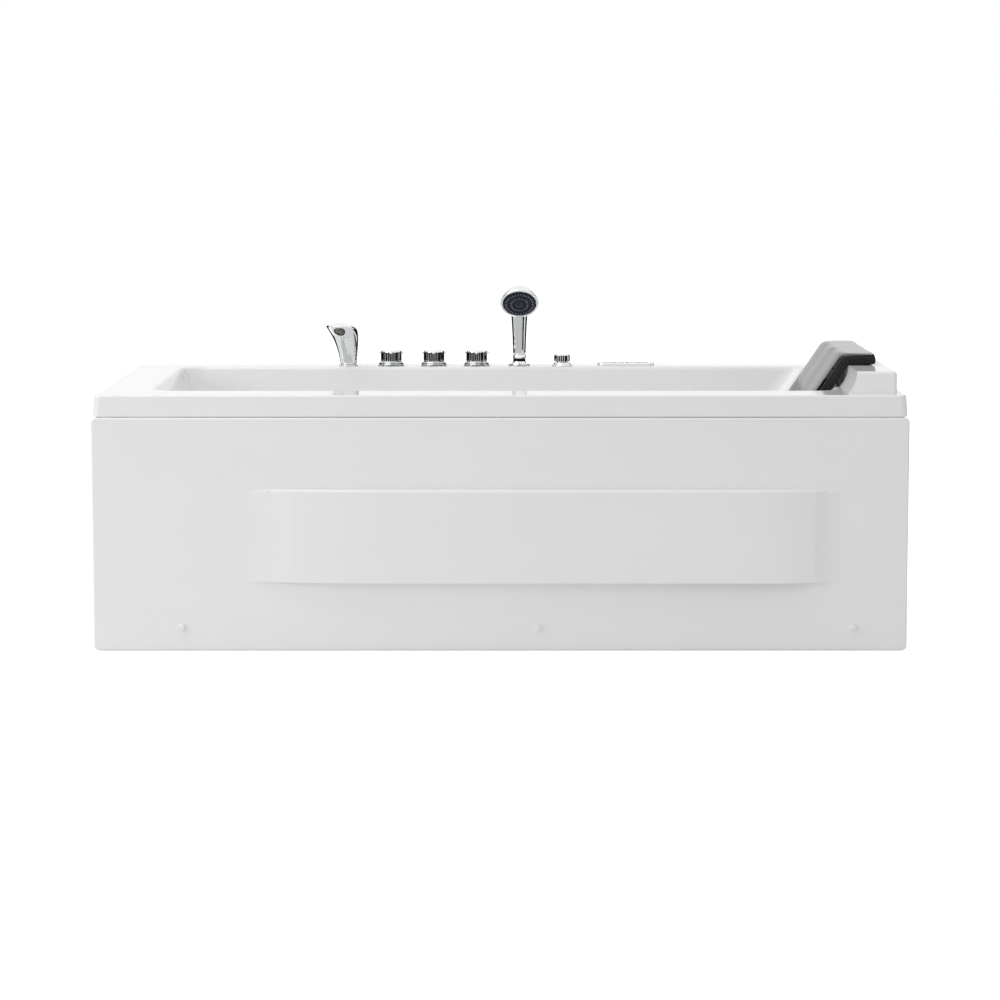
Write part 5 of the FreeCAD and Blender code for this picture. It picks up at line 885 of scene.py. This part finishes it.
def backdrop_rays(tree):
    """1 for the rays that show the backdrop itself: from the camera, in a reflection or through glass."""
    seen = add(tree, "ShaderNodeLightPath")
    shown = maths(tree, seen.outputs["Is Camera Ray"], seen.outputs["Is Glossy Ray"], "MAXIMUM")
    return maths(tree, shown, seen.outputs["Is Transmission Ray"], "MAXIMUM")


def make_stage():
    """Floor, soft light and the camera at the photograph's angle."""
    floor_mesh = bmesh.new()
    bmesh.ops.create_grid(floor_mesh, x_segments=1, y_segments=1, size=FLOOR_HALF)
    data = bpy.data.meshes.new("studio_floor")
    floor_mesh.to_mesh(data)
    floor_mesh.free()
    floor = placed("studio_floor", data)
    material, tree, shader, _ = start("studio_floor_paint", **{
        "Base Color": (0.8, 0.8, 0.8, 1), "Roughness": 0.9, "Specular IOR Level": 0.0,
        "Emission Color": (1, 1, 1, 1)})
    tree.links.new(maths(tree, backdrop_rays(tree), FLOOR_GLOW), shader.inputs["Emission Strength"])
    data.materials.append(material)

    world = bpy.data.worlds.new("studio")
    bpy.context.scene.world = world
    world.use_nodes = True
    tree = world.node_tree
    tree.nodes.clear()
    strength = add(tree, "ShaderNodeMapRange", {
        "Value": backdrop_rays(tree), "To Min": WORLD_LIGHT, "To Max": 1.0}).outputs[0]
    background = add(tree, "ShaderNodeBackground", {"Color": (1, 1, 1, 1), "Strength": strength})
    add(tree, "ShaderNodeOutputWorld", {"Surface": background.outputs[0]})

    # Black cards outside the picture, seen only in reflections, draw the edges of the bright plate.
    black = start("black_card", **{"Base Color": (0.004, 0.004, 0.004, 1), "Roughness": 1.0,
                                   "Specular IOR Level": 0.0})[0]
    cards = {"card_rear_left": ((-5.6, 3.4, 0.02), (-1.65, 3.4, 3.2)),
             "card_rear_right": ((1.65, 3.4, 0.02), (5.6, 3.4, 3.2)),
             "card_floor_left": ((-5.6, 1.0, 0.02), (-0.95, 3.4, 0.02)),
             "card_floor_right": ((0.95, 1.0, 0.02), (5.6, 3.4, 0.02)),
             "card_side_left": ((-4.5, -1.1, 0.02), (-4.5, 0.4, 3.2))}
    for name, (near, far) in cards.items():
        card_mesh = bmesh.new()
        level = near[2] == far[2]
        corners = [card_mesh.verts.new(corner) for corner in (
            near, (far[0], near[1] if level else far[1], near[2]), far,
            (near[0], far[1] if level else near[1], far[2]))]
        card_mesh.faces.new(corners)
        data = bpy.data.meshes.new(name)
        card_mesh.to_mesh(data)
        card_mesh.free()
        data.materials.append(black)
        card = placed(name, data)
        card.visible_camera = card.visible_diffuse = card.visible_shadow = False

    lamps = [("overhead_softbox", (-2.0, -0.6, 4.0), (10, -30, 0), 3.2, 2.4, 56),
             ("left_softbox", (-5.0, -3.2, 2.2), (66, 0, -57), 2.6, 2.2, 66)]
    for name, spot, angles, wide, tall, power in lamps:
        light = bpy.data.lights.new(name, "AREA")
        light.shape, light.size, light.size_y, light.energy = "RECTANGLE", wide, tall, power
        lamp = placed(name, light)
        lamp.location = spot
        lamp.rotation_euler = [math.radians(angle) for angle in angles]
        lamp.visible_camera = False

    studio = bpy.context.scene.bathtub_studio
    lens = bpy.data.cameras.new("photo_camera")
    lens.lens, lens.sensor_width, lens.shift_y = studio.lens, 36, studio.shift
    lens.clip_start, lens.clip_end = 0.1, 100
    camera = placed("photo_camera", lens)
    camera.location = (studio.aside, -studio.distance, studio.height)
    camera.rotation_euler = (math.pi / 2 - studio.pitch, 0, 0)
    bpy.context.scene.camera = camera
    bpy.context.scene.view_settings.view_transform = "Standard"


def dress_nodes():
    """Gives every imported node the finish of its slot."""
    slots = {part["node"]: part["material_slot"] for part in frame["record"]["subparts"]}
    for name, thing in frame["nodes"].items():
        thing.data.materials.clear()
        thing.data.materials.append(MATERIALS[slots[name]])


# ---------------------------------------------------------------- operators

class BATHTUB_OT_finishes(bpy.types.Operator):
    """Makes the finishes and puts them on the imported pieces"""
    bl_idname = "bathtub.finishes"
    bl_label = "Finishes"

    def execute(self, context):
        make_materials()
        dress_nodes()
        return {"FINISHED"}


class BATHTUB_OT_taps(bpy.types.Operator):
    """Makes the tap handles and their rosettes"""
    bl_idname = "bathtub.taps"
    bl_label = "Tap handles"

    def execute(self, context):
        make_handles()
        make_rosettes()
        return {"FINISHED"}


class BATHTUB_OT_spout(bpy.types.Operator):
    """Makes the spout and its outlet"""
    bl_idname = "bathtub.spout"
    bl_label = "Spout"

    def execute(self, context):
        make_spout()
        make_aerator()
        return {"FINISHED"}


class BATHTUB_OT_shower(bpy.types.Operator):
    """Makes the hand shower, its cup and its spray face"""
    bl_idname = "bathtub.shower"
    bl_label = "Hand shower"

    def execute(self, context):
        make_shower()
        make_spray()
        return {"FINISHED"}


class BATHTUB_OT_controls(bpy.types.Operator):
    """Makes the air control and the control panel"""
    bl_idname = "bathtub.controls"
    bl_label = "Controls"

    def execute(self, context):
        make_air_control()
        make_panel()
        return {"FINISHED"}


class BATHTUB_OT_apron(bpy.types.Operator):
    """Makes the apron with its relief"""
    bl_idname = "bathtub.apron"
    bl_label = "Apron"

    def execute(self, context):
        make_apron()
        return {"FINISHED"}


class BATHTUB_OT_pillow(bpy.types.Operator):
    """Makes the pillow on the raised end"""
    bl_idname = "bathtub.pillow"
    bl_label = "Pillow"

    def execute(self, context):
        make_pillow()
        return {"FINISHED"}


class BATHTUB_OT_stage(bpy.types.Operator):
    """Makes the floor, the light and the camera"""
    bl_idname = "bathtub.stage"
    bl_label = "Stage"

    def execute(self, context):
        make_stage()
        return {"FINISHED"}


OPERATORS = (BATHTUB_OT_finishes, BATHTUB_OT_taps, BATHTUB_OT_spout, BATHTUB_OT_shower, BATHTUB_OT_controls,
             BATHTUB_OT_apron, BATHTUB_OT_pillow, BATHTUB_OT_stage)


class BATHTUB_PT_panel(bpy.types.Panel):
    """Lists the steps that dress the bathtub"""
    bl_idname = "BATHTUB_PT_panel"
    bl_label = "Jetted Bathtub"
    bl_space_type = "VIEW_3D"
    bl_region_type = "UI"
    bl_category = "Bathtub"

    def draw(self, context):
        for operator in OPERATORS:
            self.layout.operator(operator.bl_idname)


GROUPS = (("bathtub_colours", BathtubColours), ("bathtub_sizes", BathtubSizes),
          ("bathtub_studio", BathtubStudio))


def register():
    for name, group in GROUPS:
        bpy.utils.register_class(group)
        setattr(bpy.types.Scene, name, PointerProperty(type=group))
    for item in OPERATORS + (BATHTUB_PT_panel,):
        bpy.utils.register_class(item)


def unregister():
    for item in reversed(OPERATORS + (BATHTUB_PT_panel,)):
        bpy.utils.unregister_class(item)
    for name, group in reversed(GROUPS):
        delattr(bpy.types.Scene, name)
        bpy.utils.unregister_class(group)


def main():
    register()
    for operator in OPERATORS:
        getattr(bpy.ops.bathtub, operator.bl_idname.split(".")[1])()


if __name__ == "__main__":
    main()
